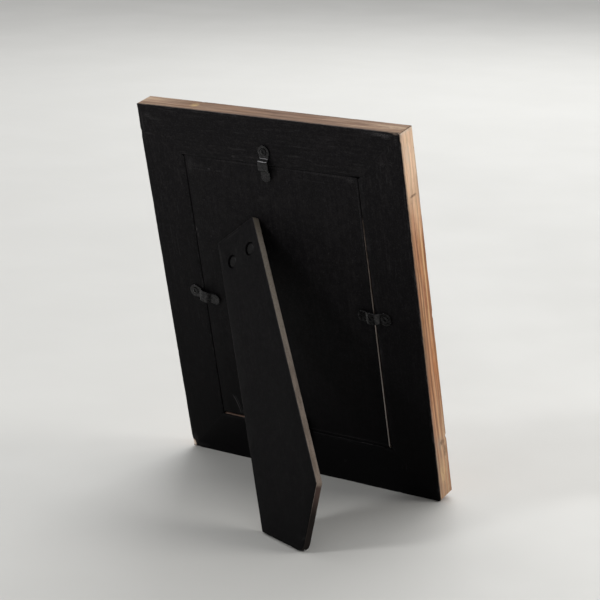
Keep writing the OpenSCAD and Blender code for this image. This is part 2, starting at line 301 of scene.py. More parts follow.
def plate(loops, spacing=0, jitter=None):
    """A flat solid. loops is [(points, profile)], the first the outline and the rest holes.
    A profile runs from the bottom to the top as (offset into the material, height)."""
    pts, faces, n = [], [], 0
    first, last = [], []
    for q, (loop, prof) in enumerate(loops):
        loop = np.array(loop, float)
        if (area(loop) > 0) != (q == 0):
            loop = loop[::-1]
        nrm = loop_normals(loop)
        m = len(loop)
        rings = []
        for off, z in prof:
            o = np.full(m, float(off))
            if jitter is not None and off > 0:
                o = o * np.array([jitter(p[0], p[1], z) for p in loop])
            ring = loop - nrm * o[:, None]
            pts.append(np.column_stack([ring, np.full(m, z)]))
            rings.append((n, ring))
            n += m
        for (a, _), (b, _) in zip(rings, rings[1:]):
            faces += [[a + i, a + (i + 1) % m, b + (i + 1) % m, b + i] for i in range(m)]
        first.append((rings[0], prof[0][1]))
        last.append((rings[-1], prof[-1][1]))
    for side, z in ((first, first[0][1]), (last, last[0][1])):
        ls = [r[1] for r, _ in side]
        inner, tri = fill(ls[0], ls[1:], spacing)
        index = [r[0] + i for r, _ in side for i in range(len(r[1]))]
        index += [n + i for i in range(len(inner))]
        if len(inner):
            pts.append(np.column_stack([inner, np.full(len(inner), z)]))
            n += len(inner)
        faces += [[index[i] for i in f] for f in tri]
    return np.vstack(pts), faces


def edge(z0, z1, r, segs=3, r0=None):
    """Profile of an outline with both edges rounded."""
    r0 = r if r0 is None else r0
    lower = [(r0 * (1 - math.sin(a)), z0 + r0 * (1 - math.cos(a))) for a in np.linspace(0, math.pi / 2, segs + 1)]
    upper = [(r * (1 - math.cos(a)), z1 - r * (1 - math.sin(a))) for a in np.linspace(0, math.pi / 2, segs + 1)]
    return lower + upper


def circle(cx, cy, r, n=40):
    return np.array([[cx + r * math.cos(2 * math.pi * i / n), cy + r * math.sin(2 * math.pi * i / n)] for i in range(n)])


def lathe(profile, n=40, centre=(0, 0)):
    """Turns (radius, height) points about Z."""
    pts, faces, rows = [], [], []
    for r, z in profile:
        if r < 1e-6:
            rows.append([len(pts)])
            pts.append((centre[0], centre[1], z))
        else:
            rows.append(list(range(len(pts), len(pts) + n)))
            pts += [(centre[0] + r * math.cos(2 * math.pi * i / n), centre[1] + r * math.sin(2 * math.pi * i / n), z) for i in range(n)]
    for a, b in zip(rows, rows[1:]):
        for i in range(n):
            j = (i + 1) % n
            if len(a) == 1 and len(b) == 1:
                continue
            if len(a) == 1:
                faces.append([a[0], b[i], b[j]])
            elif len(b) == 1:
                faces.append([a[i], a[j], b[0]])
            else:
                faces.append([a[i], a[j], b[j], b[i]])
    return np.array(pts), faces


# ---------------------------------------------------------------- material helpers
def rgb(r, g, b):
    """0-255 display values to a linear colour."""
    f = lambda c: (c / 255) / 12.92 if c / 255 <= 0.04045 else ((c / 255 + 0.055) / 1.055) ** 2.4
    return (f(r), f(g), f(b), 1.0)


class Mat:
    def __init__(self, name):
        self.m = bpy.data.materials.new(name)
        self.m.use_nodes = True
        self.t = self.m.node_tree
        self.t.nodes.clear()
        self.out = self.t.nodes.new("ShaderNodeOutputMaterial")
        self.b = self.t.nodes.new("ShaderNodeBsdfPrincipled")
        self.t.links.new(self.b.outputs[0], self.out.inputs[0])

    def put(self, sock, v):
        if v is None:
            return
        if isinstance(v, bpy.types.NodeSocket):
            self.t.links.new(v, sock)
        else:
            sock.default_value = v

    def set(self, **kw):
        for k, v in kw.items():
            self.put(self.b.inputs[k.replace("_", " ")], v)
        return self

    def P(self, name="P"):
        n = self.t.nodes.new("ShaderNodeAttribute")
        n.attribute_name = name
        return n.outputs["Vector"]

    def F(self, name):
        n = self.t.nodes.new("ShaderNodeAttribute")
        n.attribute_name = name
        return n.outputs["Fac"]

    def sep(self, v):
        n = self.t.nodes.new("ShaderNodeSeparateXYZ")
        self.put(n.inputs[0], v)
        return n.outputs[0], n.outputs[1], n.outputs[2]

    def comb(self, x, y, z):
        n = self.t.nodes.new("ShaderNodeCombineXYZ")
        for s, v in zip(n.inputs, (x, y, z)):
            self.put(s, v)
        return n.outputs[0]

    def math(self, op, a, b=None, c=None, clamp=False):
        n = self.t.nodes.new("ShaderNodeMath")
        n.operation = op
        n.use_clamp = clamp
        for s, v in zip(n.inputs, (a, b, c)):
            self.put(s, v)
        return n.outputs[0]

    def mul(self, a, b):
        return self.math("MULTIPLY", a, b)

    def addf(self, a, b, clamp=False):
        return self.math("ADD", a, b, clamp=clamp)

    def sub(self, a, b):
        return self.math("SUBTRACT", a, b)

    def mx(self, a, b):
        return self.math("MAXIMUM", a, b)

    def mn(self, a, b):
        return self.math("MINIMUM", a, b)

    def vec(self, op, a, b=None, scale=None):
        n = self.t.nodes.new("ShaderNodeVectorMath")
        n.operation = op
        self.put(n.inputs[0], a)
        if b is not None:
            self.put(n.inputs[1], b)
        if scale is not None:
            self.put(n.inputs["Scale"], scale)
        return n.outputs["Value"] if op in ("LENGTH", "DISTANCE", "DOT_PRODUCT") else n.outputs[0]

    def scale(self, v, s):
        return self.vec("MULTIPLY", v, s)

    def noise(self, v, scale=1.0, detail=3.0, rough=0.5, dist=0.0, lac=2.0):
        n = self.t.nodes.new("ShaderNodeTexNoise")
        self.put(n.inputs["Vector"], v)
        n.inputs["Scale"].default_value = scale
        n.inputs["Detail"].default_value = detail
        n.inputs["Roughness"].default_value = rough
        n.inputs["Lacunarity"].default_value = lac
        n.inputs["Distortion"].default_value = dist
        return n.outputs["Fac"]

    def voro(self, v, scale=1.0, feature="F1", rand=1.0):
        n = self.t.nodes.new("ShaderNodeTexVoronoi")
        n.feature = feature
        self.put(n.inputs["Vector"], v)
        n.inputs["Scale"].default_value = scale
        n.inputs["Randomness"].default_value = rand
        return n.outputs["Distance"]

    def step(self, v, lo, hi, a=0.0, b=1.0):
        """a below lo, b above hi, smooth between; lo above hi turns it round."""
        if lo > hi:
            lo, hi, a, b = hi, lo, b, a
        n = self.t.nodes.new("ShaderNodeMapRange")
        n.interpolation_type = "SMOOTHSTEP"
        self.put(n.inputs["Value"], v)
        n.inputs["From Min"].default_value = lo
        n.inputs["From Max"].default_value = hi
        n.inputs["To Min"].default_value = a
        n.inputs["To Max"].default_value = b
        return n.outputs["Result"]

    def lin(self, v, lo, hi, a=0.0, b=1.0):
        n = self.t.nodes.new("ShaderNodeMapRange")
        self.put(n.inputs["Value"], v)
        for k, x in zip(("From Min", "From Max", "To Min", "To Max"), (lo, hi, a, b)):
            n.inputs[k].default_value = x
        return n.outputs["Result"]

    def mix(self, f, a, b, mode="MIX"):
        n = self.t.nodes.new("ShaderNodeMix")
        n.data_type = "RGBA"
        n.blend_type = mode
        n.clamp_factor = True
        self.put(n.inputs[0], f)
        self.put(n.inputs[6], a)
        self.put(n.inputs[7], b)
        return n.outputs[2]

    def mixf(self, f, a, b):
        n = self.t.nodes.new("ShaderNodeMix")
        n.data_type = "FLOAT"
        self.put(n.inputs[0], f)
        self.put(n.inputs[2], a)
        self.put(n.inputs[3], b)
        return n.outputs[0]

    def ramp(self, f, stops, interp="LINEAR"):
        n = self.t.nodes.new("ShaderNodeValToRGB")
        n.color_ramp.interpolation = interp
        e = n.color_ramp.elements
        while len(e) < len(stops):
            e.new(0.5)
        for el, (p, c) in zip(e, stops):
            el.position = p
            el.color = c if len(c) == 4 else (*c, 1)
        self.put(n.inputs[0], f)
        return n.outputs[0]

    def bump(self, h, distance, strength=1.0, normal=None):
        n = self.t.nodes.new("ShaderNodeBump")
        n.inputs["Distance"].default_value = distance
        n.inputs["Strength"].default_value = strength
        self.put(n.inputs["Height"], h)
        self.put(n.inputs["Normal"], normal)
        return n.outputs[0]

    def blob(self, x, y, cx, cy, rx, ry, soft=0.35):
        """1 inside an ellipse in (x, y), 0 outside."""
        dx = self.mul(self.sub(x, cx), 1.0 / rx)
        dy = self.mul(self.sub(y, cy), 1.0 / ry)
        d = self.math("SQRT", self.addf(self.mul(dx, dx), self.mul(dy, dy)))
        return self.step(d, 1.0 + soft, 1.0 - soft)


# ---------------------------------------------------------------- materials
def paint_nodes(M, G, z):
    """Thin brushed black paint: colour, roughness and height from coordinates G, grain along the first axis.
    z is the height in mm. The paint is painted darker towards the bottom and paler towards the top as painted shade,
    and its fine dust specks thin out downwards with it."""
    streak = M.noise(M.scale(G, (0.030, 0.70, 0.70)), 1, 4, 0.6)
    broad = M.noise(M.scale(G, (0.020, 0.06, 0.06)), 1, 3, 0.55)
    cloud = M.noise(M.scale(G, (0.30, 0.42, 0.42)), 1, 5, 0.72)
    fine = M.noise(M.scale(G, (1.1, 1.6, 1.6)), 1, 4, 0.62)
    t = M.addf(M.addf(M.mul(streak, 0.26), M.mul(broad, 0.26)), M.mul(cloud, 0.48))
    # painted shade: a darker ramp for low down and a paler, dustier ramp for high up, mixed by height below
    painted_shade_low = M.ramp(t, [(0.33, (0.0005, 0.0005, 0.0007)), (0.50, (0.0010, 0.0009, 0.0012)), (0.68, (0.0026, 0.0023, 0.0027))])
    dust_and_painted_light_high = M.ramp(t, [(0.33, (0.0032, 0.0029, 0.0036)), (0.50, (0.0066, 0.0061, 0.0069)), (0.67, (0.0190, 0.0172, 0.0180))])
    up = M.lin(z, 20.0, 232.0)
    c = M.mix(up, painted_shade_low, dust_and_painted_light_high)
    c = M.mix(M.mul(M.step(fine, 0.52, 0.66, 0, 0.52), M.addf(M.mul(up, 0.85), 0.15)), c, (0.027, 0.0255, 0.0265, 1))
    c = M.mix(M.step(fine, 0.44, 0.32, 0, 0.45), c, (0.0008, 0.0008, 0.0010, 1))
    rough = M.addf(M.lin(broad, 0.3, 0.7, 0.44, 0.60), M.lin(fine, 0.3, 0.7, -0.05, 0.09))
    height = M.addf(M.mul(streak, 0.55), M.mul(fine, 0.45))
    return c, rough, height


def wood_nodes(M, G, r, d, k, painted_highlight):
    """Stained pine, sawn along the first axis of G. The last argument is 0 where the streaks are strong and 1 where the
    wood is painted paler with its streaks faded: a painted highlight.
    """
    warp = M.noise(M.scale(G, (0.007, 0.045, 0.045)), 1, 2.5, 0.5)
    rr = M.addf(M.sub(r, 15.0), M.mul(M.sub(k, 1.5), 7.0))
    dd = M.addf(d, 37.0)
    R = M.math("SQRT", M.addf(M.mul(rr, rr), M.mul(dd, dd)))
    R = M.addf(R, M.mul(M.sub(warp, 0.5), 17.0))
    ring = M.math("FRACT", M.mul(R, 1 / 4.1))
    late = M.mul(M.math("POWER", ring, 2.2), M.step(ring, 1.0, 0.90))
    fibre = M.noise(M.scale(G, (0.028, 1.05, 1.05)), 1, 5, 0.66)
    streak = M.noise(M.scale(G, (0.009, 0.40, 0.40)), 1, 4, 0.60)
    patch = M.noise(M.scale(G, (0.022, 0.11, 0.11)), 1, 3, 0.5)
    hue = M.noise(M.scale(G, (0.016, 0.30, 0.30)), 1, 2, 0.5)
    hard = M.sub(1.0, M.mul(painted_highlight, 0.62))
    c = M.ramp(streak, [(0.30, rgb(146, 98, 68)), (0.44, rgb(184, 131, 94)), (0.56, rgb(208, 156, 115)), (0.70, rgb(234, 194, 156))])
    c = M.mix(M.mul(painted_highlight, 0.78), c, rgb(255, 224, 194))
    c = M.mix(M.mul(M.mul(late, 0.74), hard), c, rgb(116, 76, 52))
    c = M.mix(M.mul(M.step(fibre, 0.52, 0.64, 0, 0.74), hard), c, rgb(98, 66, 48))
    c = M.mix(M.step(fibre, 0.42, 0.28, 0, 0.42), c, rgb(234, 206, 174))
    c = M.mix(M.mul(M.step(patch, 0.50, 0.68, 0, 0.34), hard), c, rgb(128, 102, 82))
    c = M.mix(M.step(hue, 0.56, 0.70, 0, 0.30), c, rgb(176, 146, 92))
    c = M.mix(M.step(hue, 0.44, 0.30, 0, 0.30), c, rgb(186, 122, 98))
    pores = M.noise(M.scale(G, (0.16, 3.4, 3.4)), 1, 2, 0.5)
    c = M.mix(M.step(pores, 0.62, 0.76, 0, 0.60), c, rgb(76, 52, 38))
    height = M.addf(M.addf(M.mul(fibre, -0.5), M.mul(late, 0.28)), M.step(pores, 0.62, 0.74, 0, -0.55))
    rough = M.lin(fibre, 0.3, 0.7, 0.62, 0.80)
    return c, rough, height


def scuffs(M, x, z, spots):
    """Rubbed marks: spots is [(x, z, rx, rz, strength)]."""
    v = M.comb(x, 0.0, z)
    n = M.noise(v, 1.9, 5, 0.75)
    m = None
    for cx, cz, rx, rz, k in spots:
        b = M.mul(M.blob(x, z, cx, cz, rx, rz, 0.55), k)
        m = b if m is None else M.mx(m, b)
    return M.mul(m, M.step(n, 0.47, 0.63, 0.02, 0.85))


def rail_material():
    M = Mat("pine_black_back")
    P = M.P()
    s, r, d = M.sep(P)
    x, y, z = M.sep(M.P("L"))
    k, mit, worn = M.F("K"), M.F("M"), M.F("W")
    G = M.vec("ADD", P, M.comb(M.mul(k, 137.0), M.mul(k, 31.0), M.mul(k, 17.0)))
    is_top = M.mul(M.step(k, 0.4, 0.6), M.step(k, 1.6, 1.4))
    is_left = M.mul(M.step(k, 1.4, 1.6), M.step(k, 2.6, 2.4))
    is_right = M.step(k, 2.4, 2.6)
    is_bottom = M.step(k, 0.6, 0.4)
    # painted highlight: towards the top of the right rail the wood is painted paler and its streaks fade
    painted_highlight = M.mul(is_right, M.step(M.addf(s, M.mul(M.sub(M.noise(M.scale(P, (0.05, 0.3, 0.3)), 1, 3, 0.6), 0.5), 40.0)), 164.0, 222.0))
    wood, wrough, wheight = wood_nodes(M, G, r, d, k, painted_highlight)
    # the top rail is coloured greyer and darker than the others, paler towards both ends
    greyed = M.noise(M.scale(G, (0.03, 0.2, 0.2)), 1, 3, 0.5)
    gs = M.noise(M.scale(G, (0.020, 0.55, 0.55)), 1, 5, 0.66)
    ends = M.mx(M.step(s, 84.0, 26.0, 0, 0.80), M.step(s, 150.0, 188.0, 0, 1.10))
    grey = M.ramp(M.addf(gs, M.mul(ends, 0.16)), [(0.32, rgb(78, 62, 53)), (0.46, rgb(110, 90, 78)), (0.60, rgb(134, 112, 96)), (0.76, rgb(180, 156, 132))])
    grey = M.mix(M.step(greyed, 0.52, 0.68, 0, 0.35), grey, rgb(126, 92, 68))
    wood = M.mix(M.mul(is_top, 0.86), M.mix(M.mul(M.sub(1.0, is_top), M.lin(greyed, 0.35, 0.75, 0.0, 0.26)), wood, rgb(142, 124, 110)), grey)
    side = M.step(r, 1.4, 0.7)
    # the foot of the right rail is greyer and more handled
    wood = M.mix(M.mul(M.mul(is_right, side), M.mul(M.step(s, 78.0, 20.0), M.step(gs, 0.30, 0.62, 0.20, 0.62))), wood, rgb(176, 156, 134))
    foot = M.mul(M.mul(is_right, side), M.step(s, 88.0, 40.0))
    fs = M.noise(M.scale(G, (0.022, 0.75, 0.75)), 1, 4, 0.66)
    wood = M.mix(M.mul(foot, M.step(fs, 0.52, 0.62, 0, 0.50)), wood, rgb(134, 92, 70))
    wood = M.mix(M.mul(foot, M.step(fs, 0.46, 0.37, 0, 0.50)), wood, rgb(216, 192, 160))
    # marks on the edges: right rail, then top rail
    nb = M.noise(M.scale(G, (0.22, 1.3, 1.3)), 1, 4, 0.66)
    rag, rag2 = M.noise(M.scale(G, (0.30, 1.0, 1.0)), 1, 4, 0.7), M.noise(M.scale(G, (0.11, 0.9, 0.9)), 1, 4, 0.7)
    for who, cs, cd, rs, rd_, col, kk in (
        (is_right, 228.0, 6.6, 5.0, 2.2, rgb(212, 196, 182), 0.60),
        (is_right, 202.0, 7.6, 0.8, 2.9, rgb(66, 44, 34), 0.85),
        (is_right, 214.0, 3.0, 14.0, 1.0, rgb(232, 190, 148), 0.55),
        (is_right, 138.0, 8.0, 9.0, 1.2, rgb(148, 92, 68), 0.70),
        (is_right, 118.0, 4.4, 12.0, 0.8, rgb(120, 80, 56), 0.55),
        (is_right, 166.0, 5.6, 13.0, 0.8, rgb(110, 72, 50), 0.50),
        (is_right, 96.0, 9.6, 14.0, 1.0, rgb(176, 112, 72), 0.55),
        (is_right, 38.4, 6.4, 4.5, 3.0, rgb(158, 146, 132), 0.55),
        (is_right, 30.5, 11.0, 3.8, 1.3, rgb(76, 56, 44), 0.75),
        (is_right, 38.0, 8.8, 1.5, 2.4, rgb(84, 64, 52), 0.70),
        (is_right, 18.5, 6.0, 7.0, 2.0, rgb(218, 188, 140), 0.65),
        (is_right, 14.0, 12.0, 12.0, 1.3, rgb(140, 92, 72), 0.60),
        (is_top, 152.5, 7.6, 2.6, 2.0, rgb(206, 176, 122), 0.80),
        (is_top, 191.0, 9.0, 2.2, 3.0, rgb(186, 170, 150), 0.60),
        (is_top, 11.0, 8.0, 12.0, 2.6, rgb(205, 180, 152), 0.55),
    ):
        b = M.blob(M.addf(s, M.mul(M.sub(rag, 0.5), 2.2 * rs)), M.addf(d, M.mul(M.sub(rag2, 0.5), 3.0)), cs, cd, rs, rd_, 0.65)
        b = M.mul(M.mul(b, M.step(nb, 0.36, 0.60, 0.15, 1.0)), M.mul(M.mul(who, side), kk))
        wood = M.mix(b, wood, col)
    # front: darker on the arrises and in the sight edge
    en = M.noise(M.scale(G, (0.30, 1.1, 1.1)), 1, 3, 0.6)
    front_arris = M.mul(worn, M.step(d, 12.6, 13.6))
    wood = M.mix(M.mul(front_arris, M.step(en, 0.30, 0.62, 0.95, 0.55)), wood, rgb(72, 56, 47))
    wood = M.mix(M.mul(M.step(r, 33.6, 35.2), M.step(d, 8.5, 8.9, 0, 0.75)), wood, rgb(62, 46, 36))
    # inside the rebate the wood is raw
    raw = M.mul(M.step(r, 30.2, 30.45), M.step(d, 14.0, 13.4))
    wood = M.mix(M.mul(raw, M.step(k, 0.6, 0.4, 0.55, 0.9)), wood, rgb(150, 126, 114))
    # joints: glue and filler line at each mitre
    joint = M.step(mit, 0.48, 0.10)
    fill_n = M.noise(M.scale(P, (1.2, 1.2, 1.2)), 1, 3, 0.7)
    near = M.mul(M.mul(M.step(mit, 2.4, 0.4), side), M.mul(M.mx(is_right, is_top), M.step(s, 120.0, 121.0, 0.0, 1.0)))
    near_tr = M.mul(near, M.mx(is_right, 0.0))
    wood = M.mix(M.mul(near_tr, M.step(fill_n, 0.42, 0.58, 0, 0.7)), wood, rgb(216, 206, 196))
    wood = M.mix(M.mul(joint, M.step(fill_n, 0.35, 0.58, 0.35, 0.88)), wood, rgb(48, 37, 31))

    paint, prough, pheight = paint_nodes(M, G, z)
    # rubbed marks on the back of the rails
    sc = scuffs(M, x, z, [
        (88.6, 236.0, 2.6, 1.6, 0.55), (84.0, 234.0, 5.0, 0.8, 0.30), (91.0, 223.8, 2.6, 0.7, 0.50), (93.5, 229.0, 0.6, 7.0, 0.35),
        (-80.0, 241.2, 9.0, 0.8, 0.50), (-84.0, 240.9, 6.0, 0.9, 1.5), (-80.5, 241.3, 3.0, 0.7, 1.2), (-86.8, 240.2, 3.0, 1.4, 0.75), (-93.6, 238.0, 1.2, 3.0, 0.45),
        (-25.0, 227.0, 9.0, 0.45, 0.30), (-33.0, 223.5, 7.0, 0.4, 0.24), (-20.0, 220.5, 8.0, 0.5, 0.26), (-41.0, 217.0, 8.0, 0.5, 0.30), (-12.0, 229.5, 6.0, 0.4, 0.24),
        (-82.0, 222.8, 2.0, 1.2, 0.45), (-88.5, 223.8, 1.0, 1.4, 0.30), (-78.0, 214.5, 0.6, 1.8, 0.30), (-87.0, 212.0, 0.5, 2.0, 0.25),
        (26.0, 215.5, 1.1, 0.7, 1.0), (20.5, 213.6, 1.6, 0.4, 0.45), (93.0, 6.0, 2.0, 4.0, 0.55), (88.5, 2.8, 6.0, 1.2, 0.35),
        (-74.0, 20.5, 0.4, 3.0, 0.30), (-71.0, 20.0, 0.35, 2.4, 0.22), (-28.0, 15.0, 1.2, 0.9, 0.30), (62.0, 29.2, 6.5, 0.3, 0.30),
    ])
    # dust specks weighted towards the top: partly dust, partly painted light along with the paint's height gradient
    dust = M.noise(M.scale(G, (0.05, 0.7, 0.7)), 1, 5, 0.72)
    sc = M.mx(sc, M.mul(M.step(dust, 0.57, 0.76, 0, 0.24), M.lin(z, 60.0, 230.0, 0.15, 1.0)))
    wear = M.mul(worn, M.step(M.noise(M.scale(G, (0.12, 0.6, 0.6)), 1, 4, 0.65), 0.50, 0.70, 0, 0.40))
    sc = M.mx(sc, wear)
    sc = M.mx(sc, M.mul(M.step(mit, 0.45, 0.1), 0.02))
    paint = M.mix(sc, paint, (0.105, 0.100, 0.102, 1))
    prough = M.addf(prough, M.mul(sc, 0.25))
    # painted light: paler paint on the rebate wall next to the back, most on the bottom rail, lightening the narrow
    # shaded gap beside the board
    paint = M.mix(M.mul(M.mul(M.step(r, 30.1, 30.4), M.step(d, 0.5, 1.0)), M.step(k, 0.6, 0.4, 0.9, 0.3)), paint, (0.022, 0.021, 0.022, 1))
    on_back = M.step(M.addf(d, M.mul(M.sub(en, 0.5), 0.9)), 0.95, 0.50)
    wall_n = M.addf(d, M.mul(M.sub(en, 0.5), 2.4))
    raw_gap = M.mul(is_bottom, M.mul(M.step(s, 140.0, 146.0), M.step(s, 167.0, 164.0)))
    on_wall = M.mul(M.mul(M.step(r, 30.1, 30.4), M.step(wall_n, 5.0, 2.2)), M.sub(1.0, M.mul(raw_gap, 0.85)))
    mask = M.mx(on_back, on_wall)
    # corners knocked through to the wood
    jx, jz = M.addf(x, M.mul(M.sub(fill_n, 0.5), 2.0)), M.addf(z, M.mul(M.sub(en, 0.5), 1.4))
    bare = None
    for cx, cz, rx, rz, kk in ((94.9, 2.6, 1.3, 2.4, 1.0), (-93.8, 242.3, 2.2, 0.4, 0.40)):
        b = M.mul(M.blob(jx, jz, cx, cz, rx, rz, 0.4), kk)
        bare = b if bare is None else M.mx(bare, b)
    bare = M.mul(M.mul(bare, M.step(fill_n, 0.30, 0.50, 0.75, 1.0)), M.step(d, 2.2, 1.2))
    mask = M.mul(mask, M.sub(1.0, bare))
    wood = M.mix(bare, wood, rgb(222, 206, 190))
    # thin overspray next to the back arris
    spray = M.mul(M.mul(side, M.step(M.addf(d, M.mul(M.sub(en, 0.5), 1.8)), 2.5, 0.8, 0, 0.68)), M.sub(1.0, bare))
    wood = M.mix(spray, wood, rgb(92, 84, 80))
    col = M.mix(mask, wood, paint)
    rough = M.mixf(mask, wrough, prough)
    h = M.mixf(mask, M.mul(wheight, 1.0), M.mul(pheight, 0.55))
    M.set(Base_Color=col, Roughness=rough, Normal=M.bump(h, 0.00016, 0.8))
    M.b.inputs["Specular IOR Level"].default_value = 0.06
    return M.m


def fibreboard_material(name, w0, w1, wells=(), raw_back=False, leg=False):
    """Black painted fibreboard. P is (across, along, out of the face); the face is at w1, the back at w0."""
    M = Mat(name)
    P = M.P()
    u, v, w = M.sep(P)
    G = M.comb(v, u, w)
    # the leg's paint height falls from 128 at its top to 34 at its foot, so the painted shade of the paint darkens it
    # towards the foot
    paint, prough, pheight = paint_nodes(M, M.vec("ADD", G, (411.0, 77.0, 5.0)), M.lin(v, 0.0, 180.0, 128.0, 34.0) if leg else M.addf(v, BOARD_Z0))
    # on the board the paler mottling is weighted towards the top: partly mottling, partly painted light
    mott = M.noise(M.scale(P, (0.22, 0.22, 0.22)), 1, 5, 0.6)
    paint = M.mix(M.mul(M.step(mott, 0.46, 0.64, 0, 0.34), 0.30 if leg else M.lin(v, 0.0, 180.0, 0.06, 1.0)), paint, (0.0150, 0.0140, 0.0145, 1))
    speck = M.noise(P, 2.6, 3, 0.75)
    raw = M.ramp(M.noise(M.scale(P, (0.8, 0.8, 2.5)), 1, 5, 0.7), [(0.30, rgb(104, 80, 62)), (0.50, rgb(150, 120, 96)), (0.70, rgb(186, 156, 130))])
    raw = M.mix(M.step(speck, 0.60, 0.72, 0, 0.6), raw, rgb(70, 52, 40))
    if leg:
        # the cut edges carry a thin grey overspray, thinner towards the foot
        sp = M.noise(M.scale(P, (0.5, 0.10, 0.5)), 1, 4, 0.65)
        low = M.step(v, 60.0, 190.0)
        grey = M.mix(M.step(sp, 0.38, 0.64), rgb(96, 91, 86), rgb(122, 114, 107))
        grey = M.mix(M.step(speck, 0.50, 0.64, 0, 0.55), grey, rgb(70, 64, 58))
        grey = M.mix(M.step(speck, 0.44, 0.34, 0, 0.45), grey, rgb(152, 144, 136))
        # painted light: the edge is painted paler from about 96 mm up to 24 mm below the heel, where light falls on it
        grey = M.mix(M.lin(v, 96.0, 24.0, 0.0, 0.85), grey, M.mix(M.step(speck, 0.46, 0.62), rgb(196, 188, 176), rgb(134, 126, 116)))
        grey = M.mix(M.step(v, 16.0, -8.0, 0, 0.80), grey, rgb(104, 100, 90))
        raw = M.mix(M.addf(0.92, M.mul(low, -0.10)), raw, grey)
        raw = M.mix(M.step(v, VR + 0.4, VR + 2.6, 0, 0.92), raw, rgb(66, 52, 48))
        raw = M.mix(M.step(v, VR + 4.0, VR + 17.0, 0, 0.92), raw, rgb(24, 22, 21))
        edge_line = M.mx(M.step(w, w1 - 0.9, w1 - 0.45), M.step(w, w0 + 0.9, w0 + 0.4))
        raw = M.mix(M.mul(M.mul(edge_line, M.step(v, VR + 20.0, VR + 6.0, 0.15, 1.0)), M.step(sp, 0.35, 0.6, 0.2, 0.6)), raw, rgb(128, 121, 113))
    else:
        # only the right edge is left raw, and the paint reaches down it from the top
        # painted light: the raw strip is painted near white, paler towards the bottom, for the lit edge in the gap
        raw = M.mix(0.86, raw, M.mix(M.lin(v, 150.0, 40.0), rgb(216, 196, 184), rgb(250, 240, 232)))
        # painted shadow: deeper into the gap the edge is painted dark, where the rail's arris shades it
        raw = M.mix(M.step(w, BOARD_T - 0.95, BOARD_T - 1.30, 0, 0.95), raw, rgb(40, 24, 18))
        sp = M.noise(M.scale(P, (0.3, 0.05, 0.9)), 1, 4, 0.65)
        raw = M.mix(M.mul(M.step(sp, 0.46, 0.62, 0, 0.80), M.lin(v, 40.0, 140.0, 0.06, 1.0)), raw, rgb(40, 36, 34))
    en = M.noise(M.scale(P, (0.45, 0.45, 1.0)), 1, 3, 0.6)
    ragged = M.mul(M.sub(en, 0.5), 0.5)
    face = M.step(M.addf(w, ragged), w1 - 0.42, w1 - 0.22) if leg else M.step(M.addf(w, M.mul(ragged, 0.5)), w1 - 0.24, w1 - 0.12)
    if raw_back:
        bare = M.mul(M.step(u, -BOARD_W / 2 + 1.6, -BOARD_W / 2 + 0.8), M.step(M.addf(v, M.mul(M.sub(sp, 0.5), 30.0)), 160.0, 138.0))
        mask = M.mx(face, M.mul(M.step(w, 0.5, 0.9), M.sub(1.0, bare)))
    else:
        mask = M.mx(face, M.step(M.addf(w, ragged), w0 + 0.40, w0 + 0.20))
    for cu, cv, cr in wells:
        mask = M.mx(mask, M.blob(u, v, cu, cv, cr, cr, 0.05))
    if leg:
        # the first two marks, along the top edge and the upper left long edge, are painted highlight lines where those
        # edges catch the light
        sc = scuffs(M, u, v, [(4.0, -5.6, 9.0, 0.5, 0.35), (17.9, 3.0, 0.5, 8.0, 0.4), (-11.0, 195.0, 5.0, 0.6, 0.5), (2.0, 60.0, 0.3, 9.0, 0.14), (-6.0, 120.0, 0.25, 12.0, 0.12), (9.0, 150.0, 4.0, 0.3, 0.14)])
        rim = M.mx(M.mx(M.step(M.sub(M.math("ABSOLUTE", u), M.mul(v, TF)), W0 - 0.55, W0 - 0.15), M.step(v, -HEEL + 0.5, -HEEL + 0.2)), 0.0)
        sc = M.mx(sc, M.mul(rim, M.step(en, 0.35, 0.6, 0.06, 0.36)))
        # the rim band is a lighter line of the scuff colour along all the edges: painted highlight with some wear
    else:
        sc = scuffs(M, u, v, [
            (63.5, 162.0 - 31.85, 0.9, 1.4, 1.0), (62.6, 158.0 - 31.85, 0.7, 1.2, 0.6),
            (52.0, 203.5 - 31.85, 9.0, 0.4, 0.30), (46.0, 204.5 - 31.85, 1.0, 0.8, 0.85), (38.0, 204.0 - 31.85, 3.0, 0.6, 0.40), (56.0, 206.0 - 31.85, 4.0, 1.0, 0.28),
            (20.0, 211.2 - 31.85, 30.0, 0.5, 0.30), (-40.0, 211.2 - 31.85, 24.0, 0.6, 0.40), (-59.0, 210.0 - 31.85, 3.0, 1.6, 0.45), (-30.0, 206.0 - 31.85, 12.0, 0.35, 0.22),
            (8.0, 190.0 - 31.85, 2.5, 1.2, 0.25), (60.5, 206.0 - 31.85, 2.0, 4.0, 0.35), (-62.9, 185.0 - 31.85, 0.3, 26.0, 0.55),
            (63.6, 100.0 - 31.85, 0.25, 60.0, 0.22), (0.0, 33.3 - 31.85, 60.0, 0.35, 0.30), (-40.0, 33.4 - 31.85, 20.0, 0.4, 0.45),
        ])
        # a long curved scratch low on the left
        cx, cz = M.sub(u, 85.4), M.addf(v, 4.8)
        rr = M.math("SQRT", M.addf(M.mul(cx, cx), M.mul(cz, cz)))
        arc = M.mx(M.step(M.math("ABSOLUTE", M.sub(rr, 36.1)), 0.36, 0.14), M.mul(M.step(M.math("ABSOLUTE", M.sub(rr, 37.5)), 0.28, 0.10), 0.5))
        arc = M.mul(arc, M.mul(M.step(v, 14.6, 12.5), M.step(v, 0.6, 2.4)))
        sc = M.mx(sc, M.mul(arc, 0.40))
